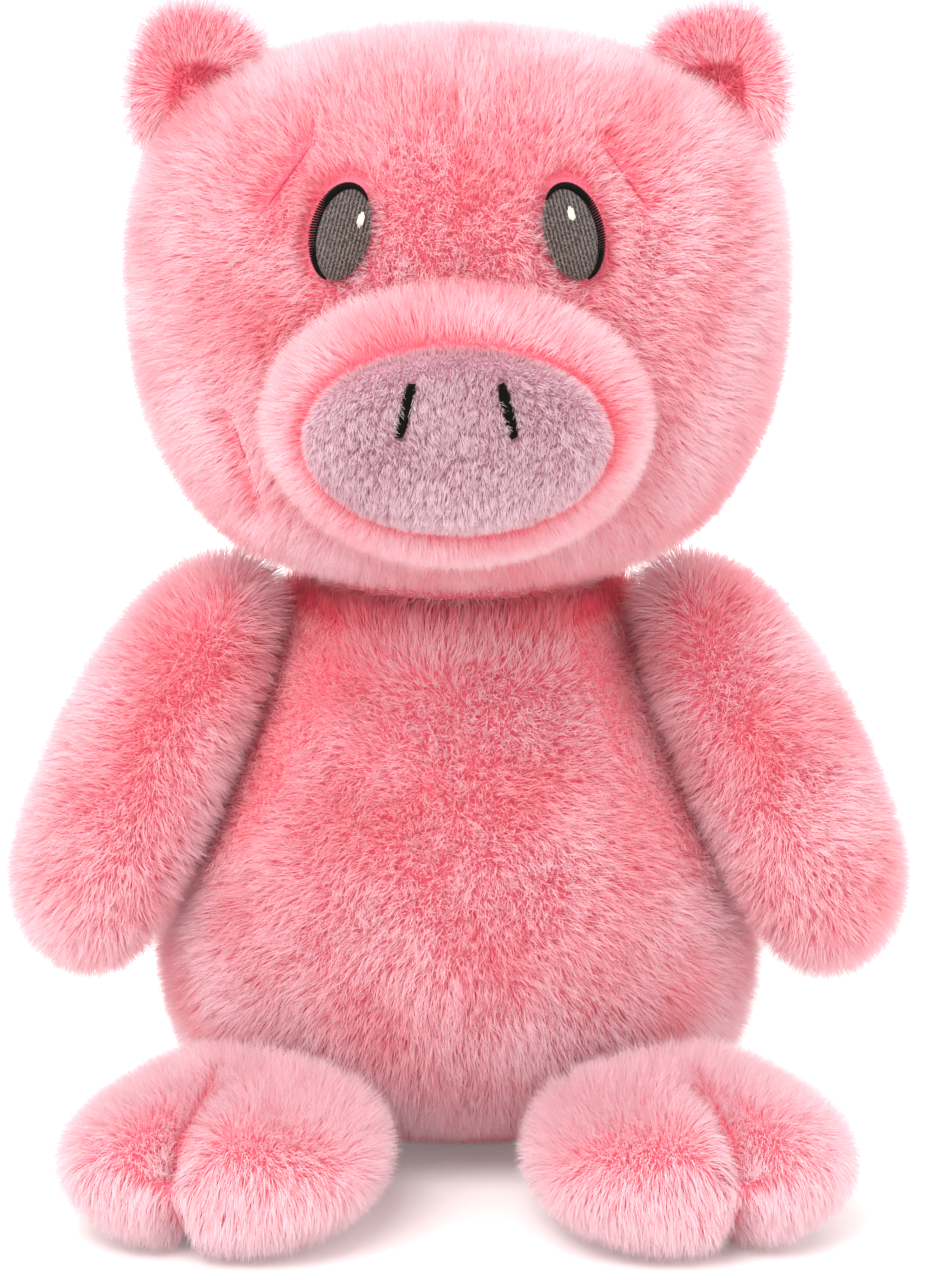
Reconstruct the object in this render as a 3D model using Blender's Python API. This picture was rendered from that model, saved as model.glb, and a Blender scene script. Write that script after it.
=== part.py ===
"""Plush pig, seated: pile panels, filling, embroidery and sewn-on limbs as separate solids.

Metres, +Z up, the pig faces -Y, +X is on the viewer's right. The origin is the middle of the seat.
Every stuffed form is a loft of soft oval sections. Its skin is cut from the form as thick panels that
meet at a seam, and its filling is the same form, drawn in by the thickness of the skin.
"""
import math

import bmesh
import bpy
import numpy as np
from mathutils import Matrix, Vector

# Fabric and sewing
SKIN = 0.0045            # thickness of pile fabric, backing and flattened pile together
GAP = 0.0003             # clearance between pieces that touch
SEAM_HALF = GAP / 2      # each panel stops this far from its seam line
SWING_GAP = GAP * 2      # clearance of a foot to what it swings past
PATCH = 0.0016           # thickness of an applied patch
THREAD = 0.0011          # half the thickness of a satin-stitched line
FLAT_CUT = 0.0005        # depth of the flat that a stuffed form stands on
ROOM = 0.30              # how far a cutter block reaches past what it cuts
SAME_PLACE = 1e-7        # points closer than this are one point
TINY = 1e-9              # lengths under this have no direction

# Body: sections from the seat to the neck, as height, half width and half depth
BODY_HEIGHT = 0.150
BODY_HALF_WIDTH = 0.079
BODY_HALF_DEPTH = 0.066
# How far the middle of each section stands behind the neck's, as a share of SEAT_BACK
body_back_shares = (1.0, 0.80, 0.50, 0.22, 0.0, -0.12, -0.17, -0.17, -0.12, -0.06, 0.0, 0.0, 0.0)
body_height_shares = (0.0, 0.035, 0.09, 0.16, 0.25, 0.35, 0.46, 0.58, 0.70, 0.81, 0.90, 0.97, 1.0)
body_width_shares = (0.42, 0.68, 0.82, 0.915, 0.975, 1.0, 0.99, 0.945, 0.88, 0.81, 0.74, 0.68, 0.64)
body_depth_shares = (0.45, 0.63, 0.77, 0.875, 0.955, 1.0, 0.99, 0.945, 0.875, 0.795, 0.715, 0.64, 0.59)
SEAT_RADIUS = 0.027      # flat panel that the toy sits on
BAG_RADIUS = 0.026
SEAT_BACK = 0.018        # the seat's middle stands this far behind the origin
BAG_HEIGHT = 0.034
bag_rise_shares = (0.0, 0.12, 0.45, 0.80, 0.95, 1.0)
bag_width_shares = (0.80, 0.94, 1.0, 0.90, 0.66, 0.0)

# Neck: the head turns on a flat and nods on a ball
NECK_SINK = 0.025        # how far the pivot lies below the top of the body
NECK_PIVOT_Z = BODY_HEIGHT - NECK_SINK
NECK_BALL = 0.048

# Head: sections from the neck to the crown
CHIN_LIFT = 0.0045       # how far the head's lowest point stands over the top of the body
HEAD_BOTTOM = BODY_HEIGHT + CHIN_LIFT
HEAD_HEIGHT = 0.1415
HEAD_HALF_WIDTH = 0.083
HEAD_HALF_DEPTH = 0.067
HEAD_FORWARD = 0.006
head_height_shares = (0.0, 0.03, 0.075, 0.13, 0.20, 0.29, 0.39, 0.50, 0.61, 0.71, 0.80, 0.88, 0.945, 0.985, 1.0)
head_width_shares = (0.0, 0.48, 0.68, 0.79, 0.87, 0.945, 0.985, 1.0, 0.985, 0.945, 0.87, 0.735, 0.52, 0.275, 0.0)
head_depth_shares = (0.0, 0.58, 0.77, 0.87, 0.94, 0.985, 1.0, 1.0, 0.975, 0.925, 0.845, 0.715, 0.52, 0.28, 0.0)
head_back_shares = (0.0, 0.56, 0.70, 0.80, 0.885, 0.955, 0.995, 1.0, 0.97, 0.91, 0.815, 0.67, 0.48, 0.26, 0.0)

# Muzzle and nose, on the face
MUZZLE_RISE_SHARE = 0.3569           # height on the head, as a share of the head's height
MUZZLE_CENTRE_Z = HEAD_BOTTOM + HEAD_HEIGHT * MUZZLE_RISE_SHARE
MUZZLE_HALF_WIDTH = 0.0455
MUZZLE_HALF_HEIGHT = 0.0335
MUZZLE_ROOT_Y = -0.052
MUZZLE_TIP_Y = -0.096
muzzle_depth_shares = (0.0, 0.30, 0.55, 0.75, 0.89, 0.97, 1.0, 1.0)
muzzle_size_shares = (1.05, 1.04, 1.01, 0.95, 0.87, 0.79, 0.70, 0.0)
NOSE_HALF_WIDTH = 0.0362
NOSE_HALF_HEIGHT = 0.0215
NOSE_DROP = 0.001        # how far the nose's middle lies below the muzzle's
NOSE_CENTRE_Z = MUZZLE_CENTRE_Z - NOSE_DROP
NOSE_CROWN = 0.005
# The crown of the nose patch, from its edge to its middle
nose_reach_shares = (1.0, 0.93, 0.72, 0.40, 0.0)
nose_rise_shares = (0.0, 0.45, 0.80, 0.96, 1.0)
NOSTRIL_X = 0.0123
NOSTRIL_LENGTH = 0.0130
NOSTRIL_LEAN_DEG = 14.0
NOSTRIL_LIFT = 0.0085
NOSTRIL_HALF_WIDTH = THREAD * 1.5

# Eyes, as seen from the front
EYE_X = 0.0280
EYE_RISE_SHARE = 0.6784
EYE_Z = HEAD_BOTTOM + HEAD_HEIGHT * EYE_RISE_SHARE
EYE_HALF_WIDTH = 0.0066
EYE_HALF_HEIGHT = 0.0115
EYE_LEAN_DEG = 15.0
EYE_RIM = 0.0012
GLINT_LENGTH = 0.0042
GLINT_WIDTH = 0.0016
glint_across_shares = {"left": 0.50, "right": 0.20}
GLINT_UP_SHARE = 0.42
BROW_X = 0.0415
BROW_RISE_SHARE = 0.7703
BROW_Z = HEAD_BOTTOM + HEAD_HEIGHT * BROW_RISE_SHARE
BROW_LENGTH = 0.0170
BROW_LEAN_DEG = 36.0
SMILE_X = 0.0530
SMILE_RISE_SHARE = 0.2650
SMILE_Z = HEAD_BOTTOM + HEAD_HEIGHT * SMILE_RISE_SHARE
SMILE_LENGTH = 0.0240
SMILE_LEAN_DEG = 18.0

# Ears
EAR_BASE_HALF = 0.0180   # half the length of the base seam
EAR_HEIGHT = 0.0235
EAR_ROOT = 0.0055        # radius of the rolled seam at the base
EAR_X = 0.0640
EAR_RISE_SHARE = 0.8551
EAR_Z = HEAD_BOTTOM + HEAD_HEIGHT * EAR_RISE_SHARE
EAR_SLOPE_DEG = 36.0     # slope of the base seam, down and outward
EAR_LEAN = 0.0010        # how far the tip stands inward of the base's middle
EAR_CUP = 0.0030
EAR_FORWARD_DEG = 25.0   # how far the ear folds forward
EAR_BACK_DEG = 15.0
ear_rise_shares = (0.0, 0.16, 0.36, 0.56, 0.74, 0.88, 0.97, 1.0)
ear_width_shares = (0.98, 1.0, 0.96, 0.85, 0.68, 0.48, 0.28, 0.0)
ear_thick_shares = (0.97, 0.98, 0.95, 0.90, 0.82, 0.70, 0.50, 0.0)

# Arms
ARM_TILT_DEG = 26.0      # how far the shoulder faces upward
ARM_YAW_DEG = 25.0       # how far the shoulder faces forward
ARM_PLANE = 0.1008       # distance of the shoulder's plane from the origin
ARM_LENGTH = 0.1155
ARM_HALF_WIDTH = 0.0290
ARM_OUT = 0.0255         # half thickness on the outer side
ARM_IN = 0.0170          # half thickness on the side that lies against the body
ARM_FLAT = 0.0015        # how deep the inner side is pressed flat
ARM_RISE = 0.0080        # how far the arm's top stands over the top of the body
ARM_TOP_Z = BODY_HEIGHT + ARM_RISE
ARM_TOP_Y = -0.0040
ARM_PIVOT = 0.0230       # from the arm's top to the middle of its round seam
arm_length_shares = (0.0, 0.035, 0.10, 0.20, 0.33, 0.48, 0.63, 0.76, 0.87, 0.945, 0.985, 1.0)
arm_width_shares = (0.0, 0.37, 0.63, 0.82, 0.93, 0.985, 1.0, 0.97, 0.85, 0.63, 0.36, 0.0)
arm_out_shares = (0.0, 0.34, 0.60, 0.80, 0.93, 1.0, 1.0, 0.96, 0.84, 0.62, 0.36, 0.0)

# Feet
FOOT_X = 0.0475
FOOT_Y = -0.0420
FOOT_SPLAY_DEG = 15.0
FOOT_LENGTH = 0.0785     # from the hinge to the toes
FOOT_HEEL = 0.0200       # radius of the round heel that sits in the body
FOOT_HALF_WIDTH = 0.0400
FOOT_HALF_HEIGHT = 0.0205
FOOT_Z = FOOT_HALF_HEIGHT - FLAT_CUT
FOOT_UP_DEG = 25.0       # how far the foot lifts
FOOT_DOWN_DEG = 10.0     # how far it drops
TOE_CLEFT = 0.0100       # depth of the groove between the toes
TOE_CLEFT_WIDTH = 0.0055
cleft_across_shares = (0.0, 0.12)   # place of the groove across the foot, at its start and at the toes
cleft_start_share = 0.42             # where along the foot the groove starts
stitch_start_share = 0.25            # where along the groove its thread starts
STITCH_LIFT = THREAD * 2.7           # the thread bridges the bottom of the groove
toe_start_share = 0.75               # where the filling ends and the toes' own folded pile begins
# Columns across the foot's upper side, from the outer edge to the inner one, close together at the groove
foot_across_shares = (1.0, 0.93, 0.77, 0.57, 0.39, 0.26, 0.17, 0.11, 0.05, -0.01, -0.08, -0.20, -0.38,
                      -0.57, -0.76, -0.92, -1.0)
heel_polar_degs = (0.0, 28.0, 52.0, 72.0)
foot_length_shares = (0.0, 0.12, 0.26, 0.42, 0.58, 0.72, 0.84, 0.93, 0.982, 1.0)
foot_width_shares = (0.60, 0.77, 0.91, 0.98, 1.0, 0.985, 0.89, 0.70, 0.40, 0.0)
foot_height_shares = (0.98, 1.0, 1.0, 1.0, 0.985, 0.94, 0.84, 0.66, 0.39, 0.0)

# Tail
TAIL_RISE_SHARE = 0.3333
TAIL_Z = BODY_HEIGHT * TAIL_RISE_SHARE
TAIL_BALL = 0.0085
TAIL_SINK_SHARE = 0.3    # how far the ball's middle stands behind the panel, as a share of its radius
TAIL_START_SHARE = 0.65  # where the curl leaves the ball, as a share of its radius
TAIL_TAPER_SHARE = 0.45  # how much thinner the tip is than the root
TAIL_ROWS = 16
TAIL_RADIUS = 0.0048
TAIL_CURL = 0.0072
TAIL_TURN_DEG = 235.0
TAIL_PITCH = 0.0140

# Facets
BODY_SIDES = 28
HEAD_SIDES = 32
LIMB_SIDES = 20
FOOT_UNDER_SIDES = 10    # columns across the sole
EAR_SIDES = 16
BALL_SIDES = 24
BORE_SIDES = 24
NECK_ROWS = 7
NEST_SIDES = 36
BAG_SIDES = 20
PATCH_SIDES = 20
GLINT_SIDES = 10
STITCH_SIDES = 8
STITCH_ROWS = 6
TUBE_SIDES = 12
SHARP_DEG = 50.0         # edges sharper than this are shaded as edges

# Finishes: a colour as sRGB values, with its roughness
PILE_PINK = ((0.965, 0.640, 0.680), 0.95)
LINING_PINK = ((0.860, 0.360, 0.430), 0.95)
NOSE_MAUVE = ((0.800, 0.590, 0.640), 0.90)
KNIT_GREY = ((0.270, 0.240, 0.255), 0.85)
THREAD_BLACK = ((0.085, 0.070, 0.080), 0.50)
THREAD_CREAM = ((0.965, 0.925, 0.850), 0.50)
THREAD_PINK = ((0.800, 0.330, 0.400), 0.50)
FIBRE_WHITE = ((0.930, 0.930, 0.925), 1.0)
POUCH_GREY = ((0.700, 0.700, 0.690), 0.90)


# Helpers for the scene
def clear_scene():
    for obj in list(bpy.data.objects):
        bpy.data.objects.remove(obj, do_unlink=True)


def linear(channel):
    return channel / 12.92 if channel <= 0.04045 else ((channel + 0.055) / 1.055) ** 2.4


def material(name, finish):
    colour, roughness = finish
    made = bpy.data.materials.new(name)
    made.use_nodes = True
    shader = made.node_tree.nodes["Principled BSDF"]
    shader.inputs["Base Color"].default_value = (*[linear(c) for c in colour], 1.0)
    shader.inputs["Roughness"].default_value = roughness
    shader.inputs["Metallic"].default_value = 0.0
    made.diffuse_color = (*colour, 1.0)
    return made


def object_from(name, points, faces, finish, origin=(0.0, 0.0, 0.0)):
    """One closed solid with its origin on its joint, faces out, shaded smooth."""
    mesh = bpy.data.meshes.new(name)
    shifted = [Vector(p) - Vector(origin) for p in points]
    mesh.from_pydata(shifted, [], faces)
    bm = bmesh.new()
    bm.from_mesh(mesh)
    bmesh.ops.recalc_face_normals(bm, faces=bm.faces)
    bm.to_mesh(mesh)
    bm.free()
    mesh.shade_smooth()
    mesh.set_sharp_from_angle(angle=math.radians(SHARP_DEG))
    mesh.materials.append(material(name + "_finish", finish))
    obj = bpy.data.objects.new(name, mesh)
    obj.location = origin
    bpy.context.scene.collection.objects.link(obj)
    return obj


def cutter_from(name, points, faces):
    cutter = object_from(name, points, faces, FIBRE_WHITE)
    cutter.hide_render = True
    cutter.display_type = "WIRE"
    return cutter


def cut(obj, *cutters):
    for cutter in cutters:
        modifier = obj.modifiers.new("cut_" + cutter.name, "BOOLEAN")
        modifier.operation = "DIFFERENCE"
        modifier.solver = "EXACT"
        modifier.object = cutter
    return obj


def unite(obj, other):
    modifier = obj.modifiers.new("join_" + other.name, "BOOLEAN")
    modifier.operation = "UNION"
    modifier.solver = "EXACT"
    modifier.object = other
    return obj


# Helpers for soft forms
def ring_rows(centres, sides_x, sides_y, front, back, across, sides):
    """Oval sections: a half size across, and a half size for each of the front and back halves."""
    rows = []
    angles = np.arange(sides) * 2 * math.pi / sides
    for centre, x_dir, y_dir, f_size, b_size, width in zip(centres, sides_x, sides_y, front, back, across):
        row = []
        for angle in angles:
            c, s = math.cos(angle), math.sin(angle)
            depth = f_size if s < 0 else b_size
            row.append(centre + x_dir * (width * c) + y_dir * (depth * s))
        rows.append(row)
    return np.array(rows)


def row_normals(rows, axis):
    """Outward normals of a loft, from its neighbours along and across."""
    along = np.gradient(rows, axis=0)
    across = np.roll(rows, -1, axis=1) - np.roll(rows, 1, axis=1)
    normals = np.cross(across, along)
    lengths = np.linalg.norm(normals, axis=2, keepdims=True)
    flat = lengths[..., 0] < TINY
    normals = normals / np.maximum(lengths, TINY)
    normals[0][flat[0]] = -axis
    normals[-1][flat[-1]] = axis
    return normals


def inset(rows, axis, depth):
    """The same form, drawn in along its normals."""
    return rows - row_normals(rows, axis) * depth


def coarse(rows):
    """Every second column. On a round form it lies just inside the full one."""
    return rows[:, ::2]


def is_point(row):
    return np.abs(row - row[0]).max() < SAME_PLACE


class Patch:
    """Collects points and faces, and gives each grid point its index."""

    def __init__(self):
        self.points = []
        self.faces = []

    def add_rows(self, rows):
        table = []
        for row in rows:
            if is_point(row):
                self.points.append(row[0])
                table.append([len(self.points) - 1] * len(row))
            else:
                start = len(self.points)
                self.points.extend(row)
                table.append(list(range(start, start + len(row))))
        return table

    def face(self, *indices):
        kept = []
        for index in indices:
            if index not in kept:
                kept.append(index)
        if len(kept) >= 3:
            self.faces.append(kept)

    def grid(self, table, closed):
        for low, high in zip(table[:-1], table[1:]):
            count = len(low)
            for j in range(count if closed else count - 1):
                k = (j + 1) % count
                self.face(low[j], low[k], high[k], high[j])


def closed_form(rows):
    """A whole loft as points and faces, with caps where an end isn't a point."""
    patch = Patch()
    table = patch.add_rows(rows)
    patch.grid(table, True)
    for end in (table[0], table[-1]):
        if len(set(end)) > 1:
            patch.faces.append(list(end))
    return patch.points, patch.faces


def half_panel(rows, axis, wall, columns, away):
    """A thick panel over some columns of a loft, moved off its seam by SEAM_HALF in the direction away."""
    outer = rows[:, columns]
    inner = inset(rows, axis, wall)[:, columns]
    away = np.array(away)
    past_seam = np.minimum(((inner - outer[:, :1]) * away).sum(axis=2, keepdims=True), 0.0)
    inner = inner - past_seam * away
    shift = away * SEAM_HALF
    patch = Patch()
    top = patch.add_rows(outer + shift)
    under = patch.add_rows(inner + shift)
    patch.grid(top, False)
    patch.grid(under, False)
    for column in (0, -1):
        for i in range(len(top) - 1):
            patch.face(top[i][column], top[i + 1][column], under[i + 1][column], under[i][column])
    for i in (0, -1):
        if len(set(top[i])) > 1:
            for j in range(len(top[i]) - 1):
                patch.face(top[i][j], top[i][j + 1], under[i][j + 1], under[i][j])
    return patch.points, patch.faces


def front_columns(sides):
    """Columns from one side seam to the other over the front, where the section's angle is 180 to 360."""
    return [j % sides for j in range(sides // 2, sides + 1)]


def back_columns(sides):
    return list(range(0, sides // 2 + 1))


# Helpers for cutters and small pieces
def ball(centre, radius, sides=BALL_SIDES):
    rows = []
    count = sides // 2
    for i in range(count + 1):
        polar = math.pi * i / count
        z, r = -math.cos(polar) * radius, math.sin(polar) * radius
        if i in (0, count):
            r = 0.0
        angles = np.arange(sides) * 2 * math.pi / sides
        rows.append([np.array(centre) + np.array((r * math.cos(a), r * math.sin(a), z)) for a in angles])
    return np.array(rows)


def rod(start, end, radius, sides):
    """A straight round rod with flat ends."""
    start, end = Vector(start), Vector(end)
    along = (end - start).normalized()
    side = along.orthogonal().normalized()
    other = along.cross(side)
    rows = []
    for place in (start, end):
        row = []
        for j in range(sides):
            angle = 2 * math.pi * j / sides
            row.append(np.array(place + side * (radius * math.cos(angle)) + other * (radius * math.sin(angle))))
        rows.append(row)
    return closed_form(np.array(rows))


# The pig is modelled on its +X side; a hand is 1 there and -1 on the other side
HANDS = (("left", -1), ("right", 1))
UP = np.array((0.0, 0.0, 1.0))
RIGHT = np.array((1.0, 0.0, 0.0))
BACK = np.array((0.0, 1.0, 0.0))
ORIGIN = np.zeros(3)


# Body
def seat_centre():
    return BACK * SEAT_BACK


def body_rows():
    count = len(body_height_shares)
    centres = [
        UP * (rise * BODY_HEIGHT) + BACK * (back * SEAT_BACK)
        for rise, back in zip(body_height_shares, body_back_shares)
    ]
    across = np.array(body_width_shares) * BODY_HALF_WIDTH
    deep = np.array(body_depth_shares) * BODY_HALF_DEPTH
    return ring_rows(centres, [RIGHT] * count, [BACK] * count, deep, deep, across, BODY_SIDES)


def half_space(plane_point, normal):
    """A big block on the outer side of a plane."""
    normal = Vector(normal).normalized()
    side = normal.orthogonal().normalized()
    other = normal.cross(side)
    reach = ROOM
    points = []
    for far in (0.0, reach):
        for u, v in ((-1, -1), (1, -1), (1, 1), (-1, 1)):
            points.append(Vector(plane_point) + normal * far + side * (u * reach) + other * (v * reach))
    faces = [(0, 3, 2, 1), (4, 5, 6, 7), (0, 1, 5, 4), (1, 2, 6, 5), (2, 3, 7, 6), (3, 0, 4, 7)]
    return points, faces


def make_body():
    rows = body_rows()
    solids = []
    for name, columns, away in (
        ("body_front_panel", front_columns(BODY_SIDES), -BACK),
        ("body_back_panel", back_columns(BODY_SIDES), BACK),
    ):
        points, faces = half_panel(rows, UP, SKIN, columns, away)
        solids.append(object_from(name, points, faces, PILE_PINK))
    points, faces = closed_form(coarse(inset(rows, UP, SKIN + GAP)))
    filling = object_from("body_stuffing", points, faces, FIBRE_WHITE)

    seat_top = seat_centre() + UP * (SKIN + GAP)
    seat = cutter_from("seat_cutter", *rod(seat_centre() - UP * ROOM, seat_top, SEAT_RADIUS + GAP, BODY_SIDES))
    floor = cutter_from("floor_cutter", *half_space(ORIGIN, -UP))
    under = cutter_from("under_cutter", *half_space(UP * (SKIN + GAP), -UP))
    neck = cutter_from("neck_cutter", *half_space(UP * BODY_HEIGHT, UP))
    bag_top = seat_centre() + UP * (SKIN + GAP + BAG_HEIGHT + GAP)
    bag = cutter_from("bag_cutter", *rod(seat_centre() - UP * ROOM, bag_top, BAG_RADIUS + GAP, BORE_SIDES))
    shoulders = []
    for side, hand in HANDS:
        normal = arm_axis(hand)
        shoulders.append(cutter_from("shoulder_cutter_" + side, *half_space(normal * ARM_PLANE, normal)))
    nests = []
    for side, hand in HANDS:
        points, faces = closed_form(ball(foot_centre(hand), FOOT_HEEL + SWING_GAP, NEST_SIDES))
        nests.append(cutter_from("foot_nest_" + side, points, faces))
    tail_nest = cutter_from("tail_nest", *closed_form(ball(tail_centre(), TAIL_BALL + GAP)))

    front, back = solids
    cut(front, seat, floor, neck, *shoulders, *nests)
    cut(back, seat, floor, neck, *shoulders, tail_nest)
    cut(filling, under, neck, bag, *shoulders, *nests, tail_nest)
    make_seat()
    make_bag()


def make_seat():
    """The flat panel that the toy sits on, level with the floor."""
    points, faces = rod(seat_centre(), seat_centre() + UP * SKIN, SEAT_RADIUS, BODY_SIDES)
    object_from("body_base_panel", points, faces, PILE_PINK)


def make_bag():
    bottom = seat_centre() + UP * (SKIN + GAP * 2)
    angles = np.arange(BAG_SIDES) * 2 * math.pi / BAG_SIDES
    rows = []
    for rise, width in zip(bag_rise_shares, bag_width_shares):
        centre = bottom + UP * (rise * BAG_HEIGHT)
        rows.append([centre + (RIGHT * math.cos(a) + BACK * math.sin(a)) * (width * BAG_RADIUS) for a in angles])
    points, faces = closed_form(np.array(rows))
    object_from("bean_bag", points, faces, POUCH_GREY)


# Neck
def neck_pivot():
    return UP * NECK_PIVOT_Z


def make_neck():
    """A firm pad: flat below, where it turns on the body, and a ball above, where the head nods."""
    rows = []
    start = math.acos((BODY_HEIGHT + GAP - NECK_PIVOT_Z) / NECK_BALL)
    for i in range(NECK_ROWS + 1):
        polar = start * (1 - i / NECK_ROWS)
        radius, height = NECK_BALL * math.sin(polar), NECK_PIVOT_Z + NECK_BALL * math.cos(polar)
        if i == NECK_ROWS:
            radius = 0.0
        angles = np.arange(BALL_SIDES) * 2 * math.pi / BALL_SIDES
        rows.append([np.array((radius * math.cos(a), radius * math.sin(a), height)) for a in angles])
    points, faces = closed_form(np.array(rows))
    object_from("neck_wad", points, faces, FIBRE_WHITE, neck_pivot())


# Head
def head_rows():
    count = len(head_height_shares)
    centres = [UP * (HEAD_BOTTOM + rise * HEAD_HEIGHT) - BACK * HEAD_FORWARD for rise in head_height_shares]
    across = np.array(head_width_shares) * HEAD_HALF_WIDTH
    front = np.array(head_depth_shares) * HEAD_HALF_DEPTH
    behind = np.array(head_back_shares) * HEAD_HALF_DEPTH
    return ring_rows(centres, [RIGHT] * count, [BACK] * count, front, behind, across, HEAD_SIDES)


def make_head():
    rows = head_rows()
    pivot = neck_pivot()
    solids = []
    for name, columns, away in (
        ("head_face_panel", front_columns(HEAD_SIDES), -BACK),
        ("head_back_panel", back_columns(HEAD_SIDES), BACK),
    ):
        points, faces = half_panel(rows, UP, SKIN, columns, away)
        solids.append(object_from(name, points, faces, PILE_PINK, pivot))
    points, faces = closed_form(coarse(inset(rows, UP, SKIN + GAP)))
    filling = object_from("head_stuffing", points, faces, FIBRE_WHITE, pivot)
    nest = cutter_from("neck_nest", *closed_form(ball(pivot, NECK_BALL + GAP, NEST_SIDES)))
    ears = []
    for side, hand in HANDS:
        start, end = ear_base(hand)
        along = (end - start) / np.linalg.norm(end - start)
        reach = along * GAP
        seat = rod(start - reach, end + reach, EAR_ROOT + GAP, BORE_SIDES)
        ears.append(cutter_from("ear_seat_" + side, *seat))
    for solid in solids:
        cut(solid, nest, *ears)
    cut(filling, nest, *ears)


# Muzzle and nose
def upright_oval(centre, half_width, half_height):
    """An oval that faces forward."""
    angles = np.arange(LIMB_SIDES) * 2 * math.pi / LIMB_SIDES
    return [centre + RIGHT * (half_width * math.cos(a)) + UP * (half_height * math.sin(a)) for a in angles]


def face_y(x, z):
    """Depth of the head's front surface at a place on the face."""
    share = min(max((z - HEAD_BOTTOM) / HEAD_HEIGHT, 0.0), 1.0)
    width = np.interp(share, head_height_shares, head_width_shares) * HEAD_HALF_WIDTH
    deep = np.interp(share, head_height_shares, head_depth_shares) * HEAD_HALF_DEPTH
    inside = max(1 - (x / width) ** 2, 0.0)
    return -HEAD_FORWARD - deep * math.sqrt(inside)


def muzzle_rows(shrink):
    """The muzzle from its root on the face to its front, with a soft round edge."""
    depth = MUZZLE_TIP_Y + shrink - MUZZLE_ROOT_Y
    rows = []
    for along, size in zip(muzzle_depth_shares, muzzle_size_shares):
        centre = np.array((0.0, MUZZLE_ROOT_Y + along * depth, MUZZLE_CENTRE_Z))
        wide = max(size * MUZZLE_HALF_WIDTH - shrink, 0.0)
        tall = max(size * MUZZLE_HALF_HEIGHT - shrink, 0.0)
        rows.append(upright_oval(centre, wide, tall))
    return np.array(rows)


def make_muzzle():
    pivot = neck_pivot()
    points, faces = closed_form(muzzle_rows(0.0))
    panel = object_from("muzzle_panel", points, faces, PILE_PINK, pivot)
    points, faces = closed_form(muzzle_rows(SKIN))
    hollow = cutter_from("muzzle_hollow", points, faces)
    points, faces = closed_form(muzzle_rows(SKIN + GAP))
    filling = object_from("muzzle_stuffing", points, faces, FIBRE_WHITE, pivot)
    points, faces = closed_form(inset(head_rows(), UP, -GAP))
    face = cutter_from("face_cutter", points, faces)
    nose_seat = cutter_from("nose_seat", *closed_form(nose_rows(GAP, GAP)))
    cut(panel, hollow, face, nose_seat)
    cut(filling, face, nose_seat)
    make_nose(pivot)


def nose_rows(grow, sink):
    """The nose patch: a low crowned oval set into the muzzle's front."""
    heights = [-SKIN - sink] + [rise * NOSE_CROWN for rise in nose_rise_shares]
    rows = []
    for share, height in zip((1.0, *nose_reach_shares), heights):
        centre = np.array((0.0, MUZZLE_TIP_Y - height, NOSE_CENTRE_Z))
        wide = share * (NOSE_HALF_WIDTH + grow)
        tall = share * (NOSE_HALF_HEIGHT + grow)
        rows.append(upright_oval(centre, wide, tall))
    return np.array(rows)


def nose_y(x, z):
    """Depth of the nose patch's crowned front."""
    reach = math.hypot(x / NOSE_HALF_WIDTH, (z - NOSE_CENTRE_Z) / NOSE_HALF_HEIGHT)
    rise = np.interp(reach, nose_reach_shares[::-1], nose_rise_shares[::-1])
    return MUZZLE_TIP_Y - rise * NOSE_CROWN


def make_nose(pivot):
    points, faces = closed_form(nose_rows(0.0, 0.0))
    object_from("nose_patch", points, faces, NOSE_MAUVE, pivot)
    for side, hand in HANDS:
        lean = math.radians(NOSTRIL_LEAN_DEG) * hand
        middle = (NOSTRIL_X * hand, NOSE_CENTRE_Z + NOSTRIL_LIFT)
        stitched_line(
            "nostril_" + side, middle, lean, NOSTRIL_LENGTH, NOSTRIL_HALF_WIDTH, nose_y, THREAD_BLACK, pivot
        )


def stitched_line(name, middle, lean, length, radius, depth_at, finish, pivot):
    """A raised satin-stitched slit that lies on a surface, with its lower edge just off it."""
    sideways = RIGHT * math.cos(lean) + UP * math.sin(lean)
    along = UP * math.cos(lean) - RIGHT * math.sin(lean)
    angles = np.arange(STITCH_SIDES) * 2 * math.pi / STITCH_SIDES
    rows = []
    for i in range(STITCH_ROWS + 1):
        t = i / STITCH_ROWS * 2 - 1
        place = RIGHT * middle[0] + UP * middle[1] + along * (t * length / 2)
        centre = place + BACK * (depth_at(place[0], place[2]) - radius - GAP * 2)
        swell = radius * math.sqrt(1 - t * t)
        rows.append([centre + (sideways * math.cos(a) - BACK * math.sin(a)) * swell for a in angles])
    return object_from(name, *closed_form(np.array(rows)), finish, pivot)


# Eyes, brows and smile
def face_frame(x, z):
    """A point on the face, and the outward direction there."""
    step = SKIN
    here = np.array((x, face_y(x, z), z))
    right = np.array((x + step, face_y(x + step, z), z)) - here
    up = np.array((x, face_y(x, z + step), z + step)) - here
    out = np.cross(right, up)
    return here, out / np.linalg.norm(out)


def oval_loop(middle, lean, half_width, half_height, lift, sides):
    """An oval that leans on the face, this far off its surface."""
    loop = []
    for j in range(sides):
        angle = 2 * math.pi * j / sides
        u, v = half_width * math.cos(angle), half_height * math.sin(angle)
        x = middle[0] + u * math.cos(lean) - v * math.sin(lean)
        z = middle[1] + u * math.sin(lean) + v * math.cos(lean)
        here, out = face_frame(x, z)
        loop.append(here + out * lift)
    return loop


def oval_pad(middle, lean, half_width, half_height, lift, thickness, sides=PATCH_SIDES):
    """A thin oval laid on the face."""
    high = lift + thickness
    steps = ((0.0, lift), (1 / 2, lift), (1.0, lift), (1.0, lift + thickness / 2), (1 / 2, high), (0.0, high))
    rows = [oval_loop(middle, lean, half_width * size, half_height * size, off, sides) for size, off in steps]
    return closed_form(np.array(rows))


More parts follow.
